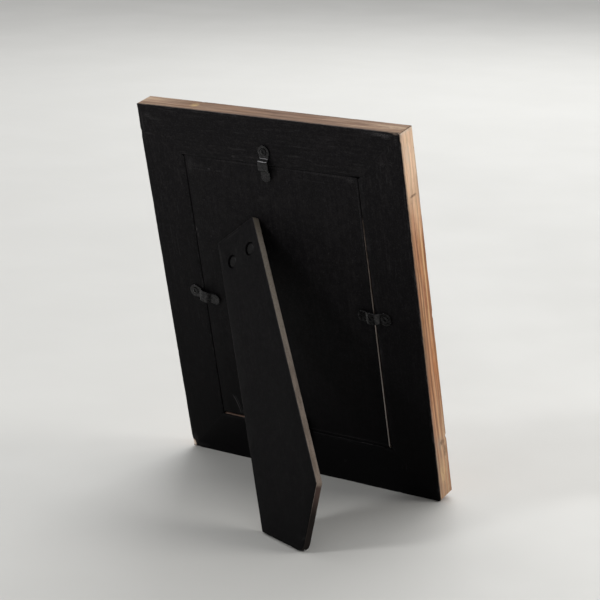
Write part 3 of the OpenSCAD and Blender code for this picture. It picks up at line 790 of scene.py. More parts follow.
        # the dust specks are weighted towards the top as well: partly dust, partly painted light
        dust = M.noise(M.scale(P, (0.5, 0.5, 0.5)), 1, 5, 0.75)
        sc = M.mx(sc, M.mul(M.step(dust, 0.58, 0.76, 0, 0.24), M.lin(v, 10.0, 130.0, 0.1, 1.0)))
    paint = M.mix(sc, paint, (0.105, 0.100, 0.102, 1))
    weave = M.noise(M.scale(P, (1.6, 1.6, 1.6)), 1, 4, 0.7)
    h = M.mixf(mask, M.mul(speck, 1.2), M.addf(M.mul(pheight, 0.4), M.mul(weave, 0.5)))
    M.set(Base_Color=M.mix(mask, raw, paint), Roughness=M.mixf(mask, M.lin(speck, 0.3, 0.7, 0.78, 0.92), M.addf(prough, M.mul(sc, 0.25))), Normal=M.bump(h, 0.00012, 0.8))
    M.b.inputs["Specular IOR Level"].default_value = 0.06
    return M.m


def steel_material(name, dark=True):
    M = Mat(name)
    P = M.P()
    n = M.noise(P, 0.8, 4, 0.6)
    f = M.noise(P, 5.0, 3, 0.6)
    if dark:
        c = M.ramp(n, [(0.30, (0.012, 0.0118, 0.0124)), (0.55, (0.026, 0.0255, 0.0265)), (0.75, (0.058, 0.056, 0.057))])
        c = M.mix(M.step(f, 0.60, 0.75, 0, 0.5), c, (0.11, 0.106, 0.10, 1))
        rough = M.addf(M.lin(n, 0.3, 0.7, 0.20, 0.34), M.lin(f, 0.3, 0.7, -0.03, 0.06))
        M.set(Metallic=0.85)
    else:
        c = M.ramp(n, [(0.30, (0.26, 0.255, 0.25)), (0.60, (0.42, 0.42, 0.42))])
        c = M.mix(M.step(f, 0.58, 0.72, 0, 0.5), c, (0.16, 0.13, 0.10, 1))
        rough = M.lin(n, 0.3, 0.7, 0.28, 0.46)
        M.set(Metallic=1.0)
    M.set(Base_Color=c, Roughness=rough, Normal=M.bump(M.addf(M.mul(n, 0.6), M.mul(f, 0.4)), 0.00004, 0.7))
    return M.m


def painted_steel_material():
    """Steel under the same black paint as the leg, rubbed a little on its crown."""
    M = Mat("black_painted_metal")
    P = M.P()
    n = M.noise(P, 0.9, 4, 0.6)
    f = M.noise(P, 3.5, 3, 0.7)
    c = M.ramp(n, [(0.30, (0.0028, 0.0026, 0.0029)), (0.70, (0.0062, 0.0058, 0.0060))])
    c = M.mix(M.step(f, 0.60, 0.74, 0, 0.4), c, (0.020, 0.019, 0.019, 1))
    M.set(Base_Color=c, Roughness=M.lin(n, 0.3, 0.7, 0.42, 0.58), Normal=M.bump(M.addf(M.mul(n, 0.6), M.mul(f, 0.4)), 0.00006, 0.8))
    M.b.inputs["Specular IOR Level"].default_value = 0.12
    return M.m


def glass_material():
    M = Mat("clear_glass")
    P = M.P()
    smudge = M.noise(M.scale(P, (0.05, 0.05, 0.05)), 1, 4, 0.6)
    M.set(Roughness=M.step(smudge, 0.52, 0.70, 0.015, 0.075))
    M.b.inputs["Base Color"].default_value = (0.93, 0.97, 0.95, 1)
    M.b.inputs["Transmission Weight"].default_value = 1.0
    M.b.inputs["IOR"].default_value = 1.5
    return M.m


def print_material():
    """A generic hazy landscape of layered hills on matt paper."""
    M = Mat("print_paper")
    x, y, z = M.sep(M.P())
    t = M.lin(z, 31.0, 212.0, 0.0, 1.0)
    c = M.ramp(t, [(0.30, rgb(214, 206, 190)), (0.62, rgb(226, 216, 198)), (0.82, rgb(190, 204, 210)), (1.0, rgb(150, 176, 192))])
    haze = M.noise(M.comb(M.mul(x, 0.02), 0.0, M.mul(z, 0.06)), 1, 4, 0.6)
    c = M.mix(M.step(haze, 0.50, 0.72, 0, 0.35), c, rgb(240, 236, 228))
    for i, (h, amp, f, col) in enumerate(((0.56, 0.10, 0.020, rgb(150, 166, 168)), (0.47, 0.10, 0.027, rgb(112, 136, 132)), (0.37, 0.08, 0.034, rgb(78, 104, 92)), (0.26, 0.07, 0.045, rgb(50, 70, 56)), (0.13, 0.05, 0.07, rgb(34, 44, 34)))):
        ridge = M.noise(M.comb(M.mul(x, f), 17.3 * (i + 1), 0.0), 1, 5, 0.55)
        line = M.addf(M.mul(M.sub(ridge, 0.5), amp * 2.4), h)
        m = M.step(M.sub(line, t), 0.0, 0.004)
        tex = M.noise(M.comb(M.mul(x, 0.25), 3.0 * i, M.mul(z, 0.5)), 1, 4, 0.65)
        c = M.mix(m, c, M.mix(M.step(tex, 0.35, 0.70, 0, 0.35), col, rgb(206, 204, 190)))
    edge_ = M.mx(M.step(M.math("ABSOLUTE", x), 61.5, 61.6), M.mx(M.step(z, 34.6, 34.5), M.step(z, 208.4, 208.5)))
    c = M.mix(edge_, c, rgb(238, 234, 224))
    grain = M.noise(M.comb(x, y, z), 3.0, 3, 0.7)
    back = M.step(y, PRINT_Y - 0.16, PRINT_Y - 0.12)
    c = M.mix(back, c, rgb(232, 229, 220))
    c = M.mix(M.step(grain, 0.45, 0.75, 0, 0.06), c, rgb(120, 118, 110))
    M.set(Base_Color=c, Roughness=M.lin(grain, 0.3, 0.7, 0.42, 0.55), Normal=M.bump(grain, 0.00002, 0.5))
    return M.m


def kraft_material():
    M = Mat("kraft_card")
    P = M.P()
    f = M.noise(M.scale(P, (0.6, 1.0, 2.4)), 1, 5, 0.7)
    c = M.ramp(f, [(0.30, rgb(146, 112, 78)), (0.52, rgb(178, 142, 104)), (0.72, rgb(200, 168, 128))])
    specks = M.noise(P, 1.7, 3, 0.8)
    c = M.mix(M.step(specks, 0.64, 0.76, 0, 0.6), c, rgb(96, 70, 48))
    x, y, z = M.sep(P)
    # black overspray on the card's border, which also holds the painted shade deep in the gap; towards the top it is
    # painted pale grey as painted light
    rim = M.mx(M.step(M.math("ABSOLUTE", M.addf(x, M.mul(M.sub(f, 0.5), 0.8))), 62.0, 62.6), M.step(M.math("ABSOLUTE", M.sub(z, FH / 2)), 88.6, 89.4))
    c = M.mix(M.mul(rim, M.step(y, CARD_Y - 0.5, CARD_Y - 0.2)), c, M.mix(M.step(z, 150.0, 196.0), (0.0040, 0.0018, 0.0014, 1), (0.085, 0.080, 0.084, 1)))
    M.set(Base_Color=c, Roughness=M.lin(f, 0.3, 0.7, 0.80, 0.92), Normal=M.bump(f, 0.00005, 0.8))
    M.b.inputs["Specular IOR Level"].default_value = 0.10
    return M.m


RAIL = rail_material()
BOARD = fibreboard_material("black_fibreboard_board", 0.0, BOARD_T, raw_back=True)
LEG = fibreboard_material("black_fibreboard_leg", LIFT, LIFT + LEG_T, wells=[(u, RIVET_V, WELL_R + 0.6) for u in RIVET_U], leg=True)
METAL = steel_material("black_metal")
PAINTED = painted_steel_material()
STEEL = steel_material("steel", dark=False)
GLASS = glass_material()
PRINT = print_material()
KRAFT = kraft_material()


# ---------------------------------------------------------------- rails
PROFILE, CORNER = rounded(
    [(0, 0), (RAIL_W, 0), (RAIL_W, 0.75), (RAIL_W, 0.9), (RAIL_W, REBATE_D), (RAIL_W + LIP_W, REBATE_D), (RAIL_W + LIP_W, FT - SIGHT), (RAIL_W + LIP_W - 0.8 * SIGHT, FT), (0, FT)],
    [0.85, 0.35, 0.0, 0.0, 0.0, 0.3, 0.6, 0.8, 1.0], segs=5, step=1.5)
CORNER[(np.abs(PROFILE[:, 0] - RAIL_W) < 0.01) & (PROFILE[:, 1] > 0.7) & (PROFILE[:, 1] < 1.0)] = 0.0
PROFILE_N = loop_normals(PROFILE)
if area(PROFILE) < 0:
    PROFILE_N = -PROFILE_N


def bead(k, s):
    """How far the paint stands in from the rebate arris, short of the board that sits a little askew."""
    tilt = math.tan(rad(BOARD_TURN))
    if k == 0:
        gap = PLAY_H / 2 + BOARD_RISE + tilt * (s - HW)
        return max(0.0, gap - 0.35) * float(smooth01((118.0 - s) / 8.0))
    if k == 2:
        return PLAY_W / 2 - BOARD_SHIFT + tilt * (s - FH / 2) - 0.20
    return 1.30 + 0.75 * float(smooth01((s - 150.0) / 40.0))


# the four outer corners are knocked round: radius at the back face, at the front face
KNOCKED = {(-1, 1): (2.2, 1.2), (-1, -1): (2.0, 2.6), (1, 1): (1.2, 1.0), (1, -1): (1.6, 1.0)}


def knock(q):
    x, y, z = q
    sx, sz = (1 if x > 0 else -1), (1 if z > FH / 2 else -1)
    r0, r1 = KNOCKED[(sx, sz)]
    r = r0 + (r1 - r0) * min(1.0, max(0.0, -y / FT))
    u, v = r - (HW - sx * x), r - (z if sz < 0 else FH - z)
    if u > 0 and v > 0 and math.hypot(u, v) > r:
        g = r / math.hypot(u, v)
        x, z = sx * (HW - r + u * g), (r - v * g if sz < 0 else FH - r + v * g)
    return (x, y, z)


def rail(name, k, length, to_local, chips=()):
    """One moulding with mitred ends. to_local turns (along, in, depth) into the upright frame."""
    m = len(PROFILE)
    near = [0.0, 0.25, 0.7, 1.5]
    count = int((length - 2 * RAIL_W) / 1.5)
    rings = [(0, a, None) for a in near] + [(1, None, i / (count + 1)) for i in range(1, count + 1)] + [(2, a, None) for a in near[::-1]]
    pts, P, Mt, Wn = [], [], [], []
    groove = {0.0: 0.08, 0.25: 0.02}
    for kind, a, t in rings:
        for i in range(m):
            r, d = PROFILE[i]
            if kind == 0:
                s = r + a
            elif kind == 2:
                s = length - r - a
            else:
                s = r + 2.4 + t * (length - 2 * r - 4.8)
            nr, nd = PROFILE_N[i]
            seed = 11.3 * k
            delta = 0.012 * (1 + nz3(s * 0.035 + seed, r * 0.12, d * 0.12))
            if CORNER[i] > 0 and not (abs(r - RAIL_W) < 0.4 and d > 1):
                c = CORNER[i]
                q = 3.0 * (r > 15) + 7.0 * (d > 7)
                broad = max(0.0, nz3(s * 0.05 + seed, q, 0.0)) ** 1.3
                fine = max(0.0, nz3(s * 0.33 + seed, q, 5.0))
                delta += c * (0.05 + 0.34 * broad + 0.10 * fine)
            if a is not None and a in groove:
                delta += groove[a] * (0.7 + 0.6 * nz3(r * 0.5, d * 0.5, seed + s * 0.1))
            for cs, cr, cd, rs, rp, depth in chips:
                f = math.sqrt(((s - cs) / rs) ** 2 + ((r - cr) / rp) ** 2 + ((d - cd) / rp) ** 2)
                f += 0.35 * nz3(s * 0.9, r * 0.9 + d * 0.9, seed)
                if f < 1:
                    delta += depth * (1 - f * f)
            delta = max(0.0, delta)
            P.append((s, r, d))
            Mt.append(min(s - r, length - r - s) * 0.7071)
            Wn.append(CORNER[i])
            gain = 0.0
            if k != 1 and abs(r - RAIL_W) < 0.4 and d < 0.8:
                gain = bead(k, s) * (1 + (0.12 if k == 3 else 0.06) * nz3(s * 0.21, k * 3.1, 0.7)) * float(smooth01((min(s, length - s) - RAIL_W) / 1.2))
            pts.append(knock(to_local(s, r - nr * delta + gain, d - nd * delta)))
    faces = []
    for g in range(len(rings) - 1):
        faces += [[g * m + i, g * m + (i + 1) % m, (g + 1) * m + (i + 1) % m, (g + 1) * m + i] for i in range(m)]
    faces += [list(range(m))[::-1], [(len(rings) - 1) * m + i for i in range(m)]]
    ob = add(name, pts, faces, RAIL, "frame", [name], P=P, attrs={"K": k, "M": Mt, "W": Wn}, angle=40)
    a = ob.data.attributes.new("L", "FLOAT_VECTOR", "POINT")
    co = np.array([v.co for v in ob.data.vertices], float) * 1000
    x, yy, zz = co[:, 0], co[:, 1] + MID_Y, co[:, 2] + FLOOR_Z
    loc = np.stack([x, yy * CA - zz * SA, yy * SA + zz * CA], 1)
    a.data.foreach_set("vector", loc.astype(np.float32).ravel())
    return ob


rail("rail_bottom", 0, FW, lambda s, r, d: (s - HW, -d, r), chips=[(190.5, 0.3, 0.2, 3.5, 1.6, 0.5), (78, 0.2, 14.3, 2.2, 1.2, 0.35), (30, 0.2, 0.2, 1.6, 1.0, 0.3)])
rail("rail_top", 1, FW, lambda s, r, d: (s - HW, -d, FH - r), chips=[(6, 0.2, 0.2, 4.0, 1.3, 0.42), (14, 0.1, 0.2, 2.4, 1.0, 0.32), (150, 0.2, 14.3, 2.0, 1.2, 0.3), (62, 0.1, 0.2, 1.6, 0.9, 0.25), (187, 0.2, 0.3, 3.0, 1.4, 0.35)])
rail("rail_left", 2, FH, lambda s, r, d: (HW - r, -d, s), chips=[(3.0, 0.3, 0.3, 4.0, 1.8, 0.55), (224, 0.2, 0.2, 1.8, 1.2, 0.35), (70, 0.2, 0.2, 1.5, 1.0, 0.25), (180, 0.2, 14.3, 2.6, 1.3, 0.35)])
rail("rail_right", 3, FH, lambda s, r, d: (-HW + r, -d, s), chips=[(39.8, 0.2, 14.0, 1.6, 1.5, 0.75), (30.5, 0.0, 11.0, 3.4, 1.4, 0.22), (202, 0.0, 7.8, 0.9, 2.8, 0.20), (122, 0.2, 14.3, 2.0, 1.2, 0.35), (240, 0.3, 0.4, 2.6, 1.6, 0.4), (176, 0.2, 0.3, 1.6, 1.1, 0.25), (88, 0.2, 0.2, 1.3, 1.0, 0.22)])

# ---------------------------------------------------------------- board and what it holds in
wob = lambda amp, f: (lambda x, y, z: 1.0 + amp * nz3(x * f, y * f, z))
bo, _ = rounded([(-BOARD_W / 2, -BOARD_H / 2), (BOARD_W / 2, -BOARD_H / 2), (BOARD_W / 2, BOARD_H / 2), (-BOARD_W / 2, BOARD_H / 2)], 0.8, 4, 3.0)
rv = at_hinge([(HINGE_MID + x, 9.5, 0) for x in (-6.5, 6.5)])
ta = rad(-BOARD_TURN)


def board_frame(p):
    """Board coordinates (across, up, out) to the upright frame."""
    p = np.asarray(p, float).reshape(-1, 3)
    x, z = p[:, 0], p[:, 1]
    return np.stack([x * math.cos(ta) + z * math.sin(ta) + BOARD_SHIFT, p[:, 2] + BOARD_Y - BOARD_T, -x * math.sin(ta) + z * math.cos(ta) + FH / 2 + BOARD_RISE], 1)


def board_inverse(q):
    x, z = q[0] - BOARD_SHIFT, q[2] - FH / 2 - BOARD_RISE
    return (x * math.cos(ta) - z * math.sin(ta), x * math.sin(ta) + z * math.cos(ta))


holes = [circle(*board_inverse(q), 1.55, 24) for q in rv]
csk = [(-1.3, 0.0), (-1.3, 0.01), (0.0, 1.3), (0.0, BOARD_T)]
# the paint bridges the crack at the left, the top and part of the bottom: a film stands out from those edges
prof = [(0.15, 0.0), (0.05, 0.05), (0.0, 0.15)] + [(0.0, BOARD_T - h) for h in (0.66, 0.60, 0.26, 0.20)] + [(0.03, BOARD_T - 0.09), (0.09, BOARD_T - 0.03), (0.20, BOARD_T)]
p, f = plate([(bo, prof)] + [(h, csk) for h in holes], spacing=9.0, jitter=wob(0.6, 0.25))
Pb = p.copy()
film = (p[:, 2] > BOARD_T - 0.63) & (p[:, 2] < BOARD_T - 0.23)
fade = smooth01((p[:, 1] + BOARD_H / 2 - 4.0) / 6.0) * smooth01((BOARD_H / 2 - p[:, 1] - 1.2) / 2.0)
at = film & (p[:, 0] > BOARD_W / 2 - 0.05)
reach = np.array([OPEN_W / 2 - 0.06 - 1.07 * bead(2, z) for z in board_frame(p)[:, 2]])
p[at, 0] += (fade * np.maximum(0.0, reach - board_frame(p)[:, 0]))[at]
fade = smooth01((p[:, 0] + BOARD_W / 2 - 4.0) / 6.0) * smooth01((BOARD_W / 2 - p[:, 0] - 1.2) / 2.0)
low = film & (p[:, 1] < -BOARD_H / 2 + 0.05)
reach = (FH - OPEN_H) / 2 + np.array([max(0.25, 0.06 + 1.07 * bead(0, x + HW)) for x in board_frame(p)[:, 0]])
p[low, 1] += (fade * smooth01((24.0 - p[:, 0]) / 8.0) * np.minimum(0.0, reach - board_frame(p)[:, 2]))[low]
at = film & (p[:, 1] > BOARD_H / 2 - 0.05)
p[at, 1] += (fade * ((FH + OPEN_H) / 2 - 0.04 - board_frame(p)[:, 2]))[at]
Pb[:, 1] += BOARD_H / 2
add("backing_board", board_frame(p), f, BOARD, "frame", ["backing_board"], P=Pb)


def box_plate(w, h, t, y, bevel, step):
    o, _ = rounded([(-w / 2, -h / 2), (w / 2, -h / 2), (w / 2, h / 2), (-w / 2, h / 2)], 0.4, 3, step)
    q, g = plate([(o, edge(0.0, t, bevel, 2))], spacing=step * 3)
    return np.stack([q[:, 0], q[:, 2] + y - t, q[:, 1] + FH / 2], 1), g


p, f = box_plate(OPEN_W - 1, OPEN_H - 1, GLASS_T, GLASS_Y, 0.25, 6.0)
add("glass", p, f, GLASS, "frame", ["glass"])
p, f = box_plate(OPEN_W - 2, OPEN_H - 2, PRINT_T, PRINT_Y, 0.02, 6.0)
add("picture_print", p, f, PRINT, "frame", ["picture_print"])

# corrugated card: two liners with a fluted sheet between them
parts = []
cw, ch, lt = OPEN_W - 2, OPEN_H - 2, 0.28
for y in (CARD_Y, CARD_Y - CARD_T + lt):
    q, g = box_plate(cw, ch, lt, y, 0.03, 8.0)
    parts.append((q, g, q))
n = 21 * 14
amp = (CARD_T - 2 * lt - 0.26) / 2
mid = CARD_Y - CARD_T / 2
xs = np.linspace(-cw / 2 + 0.15, cw / 2 - 0.15, n + 1)
ph = xs / cw * 21 * 2 * math.pi
pts = []
for side in (0.11, -0.11):
    slope = amp * 21 * 2 * math.pi / cw * np.cos(ph)
    nrm = np.stack([-slope, np.ones_like(slope)], 1) / np.sqrt(1 + slope ** 2)[:, None]
    for z in (FH / 2 - ch / 2 + 0.1, FH / 2, FH / 2 + ch / 2 - 0.1):
        pts += [(x + side * a, mid + amp * math.sin(q) + side * b, z) for x, q, (a, b) in zip(xs, ph, nrm)]
w = n + 1
g = []
for layer in (0, 3):
    for row in (0, 1):
        o = (layer + row) * w
        g += [[o + i, o + i + 1, o + w + i + 1, o + w + i] for i in range(n)]
for row in (0, 2):
    g += [[row * w + i, row * w + i + 1, (row + 3) * w + i + 1, (row + 3) * w + i] for i in range(n)]
for i in (0, n):
    g += [[row * w + i, (row + 1) * w + i, (row + 4) * w + i, (row + 3) * w + i] for row in (0, 1)]
parts.append((np.array(pts), g, np.array(pts)))
p, f, q = join(parts)
add("filler_card", p, f, KRAFT, "frame", ["filler_card"], P=q)

# ---------------------------------------------------------------- easel leg
xc = (A2 - A1) / (B1 - B2)
corner = (xc, A1 + B1 * xc)
lo_, _ = rounded([(-LEG_W / 2, -HEEL), (LEG_W / 2, -HEEL), (UL, VL), corner, (UR, VR)], [1.2, 1.2, 1.4, TIP_R, 1.4], [4, 4, 5, 18, 5], 2.2)
W1 = LIFT + LEG_T
well = [(1.65 - WELL_R, LIFT), (1.65 - WELL_R, W1 - WELL_D), (-0.25, W1 - WELL_D), (-0.06, W1 - WELL_D + 0.08), (0.0, W1 - WELL_D + 0.3), (0.0, W1 - 0.3), (0.08, W1 - 0.1), (0.28, W1)]
p, f = plate([(lo_, edge(LIFT, W1, 0.5, 4, 0.4))] + [(circle(u, RIVET_V, WELL_R, 48), well) for u in RIVET_U], spacing=7.0, jitter=wob(0.55, 0.22))
add("easel_leg", at_leg(p), f, LEG, "leg", ["easel_leg"], P=p)

h0 = LIFT + LEG_T - WELL_D
parts = []
for u in RIVET_U:
    prof = [(0, LIFT - LEAF_T - 0.8), (1.6, LIFT - LEAF_T - 0.8), (2.05, LIFT - LEAF_T - 0.74), (2.45, LIFT - LEAF_T - 0.55), (2.6, LIFT - LEAF_T - 0.35), (2.6, LIFT - LEAF_T), (1.6, LIFT - LEAF_T), (1.6, h0),
            (3.62, h0), (3.72, h0 + 0.12), (3.72, h0 + 0.42), (3.6, h0 + 0.68), (3.25, h0 + 0.95), (2.6, h0 + 1.16), (1.8, h0 + 1.27), (0.9, h0 + 1.31), (0.45, h0 + 1.26), (0, h0 + 1.24)]
    q, g = lathe(prof, 48, (u, RIVET_V))
    parts.append((at_leg(q), g, q))
p, f, q = join(parts)
add("leg_rivets", p, f, PAINTED, "leg", ["leg_rivets"], P=q)


# ---------------------------------------------------------------- hinge
def leaf_outline(half, y0, y1, c, mid=HINGE_MID):
    o, _ = rounded([(mid - half, y0), (mid + half, y0), (mid + half, y1 - c), (mid + half - c, y1), (mid - half + c, y1), (mid - half, y1 - c)], [0.6, 0.6, 1.2, 1.2, 1.2, 1.2], 4, 3.0)
    return o


def ear(x0, t, zdir, reach, bore):
    """Ear round the pin, x0..x0+t along the pin; its foot reaches to zdir * reach."""
    o, _ = rounded([(-EAR_R, zdir * reach), (EAR_R, zdir * reach), (EAR_R, -zdir * EAR_R), (-EAR_R, -zdir * EAR_R)] if zdir > 0 else [(-EAR_R, -EAR_R * zdir), (EAR_R, -EAR_R * zdir), (EAR_R, zdir * reach), (-EAR_R, zdir * reach)],
                   [0.0, 0.0, 1.49, 1.49] if zdir > 0 else [1.49, 1.49, 0.0, 0.0], 8, 1.0)
    q, g = plate([(o, edge(0, t, 0.12, 2)), (circle(0, 0, bore, 28), [(0.05, 0), (0.0, 0.05), (0.0, t - 0.05), (0.05, t)])])
    return np.column_stack([q[:, 2] + x0, q[:, 0], q[:, 1]]), g


parts = []
q, g = plate([(leaf_outline(HINGE_HALF, -3.2, 14, 3), edge(-LIFT - LEAF_T, -LIFT, 0.18, 3))] + [(circle(HINGE_MID + x, 9.5, 1.55, 28), [(0.0, -LIFT - LEAF_T), (0.0, -LIFT)]) for x in (-6.5, 6.5)], spacing=4.0)
parts.append((at_hinge(q), g, q))
for x in (-HINGE_HALF, HINGE_HALF - 0.8):
    q, g = ear(HINGE_MID + x, 0.8, -1, LIFT + 0.05, PIN_R)
    parts.append((at_hinge(q), g, q))
p, f, q = join(parts)
add("hinge_bracket", p, f, PAINTED, "frame", ["hinge_bracket"], P=q)

parts = []
q, g = plate([(leaf_outline(HINGE_HALF - 1.1, -2.6, 15, 3), edge(LIFT - LEAF_T, LIFT - 0.005, 0.18, 3))] + [(circle(u, RIVET_V, 1.65, 28), [(0.0, LIFT - LEAF_T), (0.0, LIFT - 0.005)]) for u in RIVET_U], spacing=4.0)
parts.append((at_leg(q), g, q))
for x in (-HINGE_HALF + 1.1, HINGE_HALF - 1.9):
    q, g = ear(HINGE_MID + x, 0.8, 1, LIFT - 0.2, PIN_R + PLAY)
    parts.append((at_leg(q), g, q))
p, f, q = join(parts)
add("leg_hinge_leaf", p, f, PAINTED, "leg", ["leg_hinge_leaf"], P=q)

parts = []
for x in (-6.5, 6.5):
    a = -LIFT - LEAF_T - BOARD_T
    prof = [(0, a), (2.8, a), (1.5, a + 1.3), (1.5, -LIFT), (2.9, -LIFT), (3.0, -LIFT + 0.08), (3.0, -LIFT + 0.22), (2.8, -LIFT + 0.5), (2.3, -LIFT + 0.75), (1.7, -LIFT + 0.92), (1.2, -LIFT + 0.95), (0.9, -LIFT + 0.85), (0.75, -LIFT + 0.6), (0.6, -LIFT + 0.45), (0, -LIFT + 0.4)]
    q, g = lathe(prof, 40, (HINGE_MID + x, 9.5))
    parts.append((at_hinge(q), g, q))
p, f, q = join(parts)
add("hinge_bracket_rivets", p, f, PAINTED, "frame", ["hinge_bracket_rivets"], P=q)

kk = HINGE_HALF + 0.02
prof = [(0, -kk - 0.7), (0.75, -kk - 0.7), (1.1, -kk - 0.58), (1.3, -kk - 0.35), (1.3, -kk), (PIN_R, -kk), (PIN_R, kk), (1.3, kk), (1.3, kk + 0.35), (1.1, kk + 0.58), (0.75, kk + 0.7), (0, kk + 0.7)]
q, g = lathe(prof, 32)
q = np.column_stack([q[:, 2] + HINGE_MID, q[:, 1], -q[:, 0]])
add("hinge_pin", at_hinge(q), g, STEEL, "frame", ["hinge_pin"], P=q)

# ---------------------------------------------------------------- turn buttons
BEND = [4.4, 5.9, 11.0, 12.6]
BEND_Z = [0.15, HUMP_H - STRIP_T, HUMP_H - STRIP_T, 0.5]


def side_path():
    """Centre line of the bent strip: points (along, height of the underside) with rounded bends."""
    c = [(-6.0, BEND_Z[0]), (BEND[0], BEND_Z[0]), (BEND[1], BEND_Z[1]), (BEND[2], BEND_Z[2]), (BEND[3], BEND_Z[3]), (24.0, BEND_Z[3])]
    out = [np.array(c[0])]
    for i in range(1, len(c) - 1):
        p, a, b = (np.array(c[j], float) for j in (i, i - 1, i + 1))
        u, v = (a - p) / np.linalg.norm(a - p), (b - p) / np.linalg.norm(b - p)
        d = min(0.75, 0.45 * np.linalg.norm(a - p), 0.45 * np.linalg.norm(b - p))
        for t in np.linspace(0, 1, 9):
            out.append((1 - t) ** 2 * (p + u * d) + 2 * t * (1 - t) * p + t * t * (p + v * d))
    out.append(np.array(c[-1]))
    return np.array(out)


PATH = side_path()


def bent(p):
    """Bends flat (x, y, z) points, z up through the strip, along the side path at the same x."""
    p = np.array(p, float)
    zc = np.interp(p[:, 0], PATH[:, 0], PATH[:, 1])
    eps = 0.05
    sl = (np.interp(p[:, 0] + eps, PATH[:, 0], PATH[:, 1]) - np.interp(p[:, 0] - eps, PATH[:, 0], PATH[:, 1])) / (2 * eps)
    nrm = np.stack([-sl, np.ones_like(sl)], 1) / np.sqrt(1 + sl ** 2)[:, None]
    h = STRIP_T / 2
    base = zc + h  # middle of the strip
    off = (p[:, 2] - h)
    return np.column_stack([p[:, 0] + nrm[:, 0] * off, p[:, 1], base + nrm[:, 1] * off])


def button(which):
    eye, turn = EYES[which]
    a0 = math.acos(3.4 / EYE_R)
    pts = []
    for t in np.linspace(math.pi / 2 - a0 + 0.0, 2 * math.pi - (math.pi / 2 - a0), 40):
        pts.append((EYE_R * math.cos(t), EYE_R * math.sin(t)))
    lower = [(BEND[0], -3.4), (BEND[1], -BUTTON_W / 2), (BEND[2], -BUTTON_W / 2), (BEND[3], -TONGUE_W / 2)]
    tr = 3.6
    tcx = BUTTON_LEN - tr
    ta0 = math.asin(TONGUE_W / 2 / tr)
    arc = [(tcx + tr * math.cos(t), tr * math.sin(t)) for t in np.linspace(-ta0, ta0, 20)]
    upper = [(x, -y) for x, y in lower[::-1]]
    raw_ = pts + lower + arc + upper
    out = []
    for i, a in enumerate(raw_):
        b = raw_[(i + 1) % len(raw_)]
        out.append(a)
        L = math.hypot(b[0] - a[0], b[1] - a[1])
        m = int(L / 0.45)
        out += [(a[0] + (b[0] - a[0]) * j / (m + 1), a[1] + (b[1] - a[1]) * j / (m + 1)) for j in range(1, m + 1)]
    out = np.array(out)
    hole = circle(0, 0, SCREW_R + 0.08, 40)
    q, g = plate([(out, edge(0, STRIP_T, 0.2, 3)), (hole, [(0.0, 0.0), (0.0, 0.2), (0.62, 0.55), (1.22, STRIP_T - 0.04), (1.34, STRIP_T)])], spacing=0.6)
    # eye dished a little towards its rim
    rr = np.hypot(q[:, 0], q[:, 1])
    dish = smooth01((rr - 2.4) / 1.5) * smooth01((4.6 - q[:, 0]) / 2.0)
    b = bent(q)
    b[:, 2] -= 0.10 * dish * (q[:, 2] > STRIP_T * 0.5)
    # slight crown across the raised middle
    mid_ = smooth01((q[:, 0] - 5.0) / 1.5) * smooth01((12.0 - q[:, 0]) / 1.5)
    b[:, 2] -= 0.16 * mid_ * (q[:, 1] / (BUTTON_W / 2)) ** 2
    P_ = q + np.array([50.0 * list(EYES).index(which), 0, 0])
    add("turn_button_" + which, at_button(b, eye, turn), g, METAL, "button_" + which, ["turn_button_" + which], P=P_, angle=45)


for w_ in EYES:
    button(w_)


def screw(turn):
    """Raised countersunk head with a cross recess, and its tapered shank."""
    R = SCREW_R + 0.62
    dome = lambda r: 1.12 + 0.42 * (1 - (r / R) ** 2)
    c, s = math.cos(rad(turn)), math.sin(rad(turn))
    cross = [(1.35, 0.27), (0.42, 0.42), (0.27, 1.35), (-0.27, 1.35), (-0.42, 0.42), (-1.35, 0.27), (-1.35, -0.27), (-0.42, -0.42), (-0.27, -1.35), (0.27, -1.35), (0.42, -0.42), (1.35, -0.27)]
    cross, _ = rounded(cross, [0.06, 0, 0.06] * 4, 2, 0.35)
    cross = np.array([(a * c - b * s, a * s + b * c) for a, b in cross])
    if area(cross) < 0:
        cross = cross[::-1]
    rim = circle(0, 0, R, 48)
    inner, tri = fill(rim, [cross], 0.30)
    top = [(x, y, dome(math.hypot(x, y))) for x, y in np.vstack([rim, cross, inner.reshape(-1, 2)])]
    pts, faces = list(top), [list(t) for t in tri]
    nr, nc = len(rim), len(cross)
    for scale_, z in ((0.86, 1.02), (0.62, 0.72)):
        o = len(pts)
        pts += [(x * scale_, y * scale_, z) for x, y in cross]
        prev = nr if scale_ == 0.86 else o - nc
        faces += [[prev + i, prev + (i + 1) % nc, o + (i + 1) % nc, o + i] for i in range(nc)]
    faces.append([len(pts) - nc + i for i in range(nc)])
    rows = [(R, 1.06), (R * 0.99, 0.92), (SCREW_R, 0.3), (SCREW_R, -5.0), (0.4, -7.9)]
    prev = list(range(nr))
    for r, z in rows:
        o = len(pts)
        pts += [(r * x / R, r * y / R, z) for x, y in rim]
        faces += [[prev[i], prev[(i + 1) % nr], o + (i + 1) % nr, o + i] for i in range(nr)]
        prev = list(range(o, o + nr))
    pts.append((0, 0, -8.0))
    faces += [[prev[i], prev[(i + 1) % nr], len(pts) - 1] for i in range(nr)]
    return np.array(pts), faces


parts = []
for i, w_ in enumerate(EYES):
    q, g = screw(TURNS[w_])
    parts.append((at_button(q, EYES[w_][0], 0), g, q + np.array([9.0 * i, 0, 0])))
p, f, q = join(parts)
add("turn_button_screws", p, f, METAL, "frame", ["turn_button_screws"], P=q)

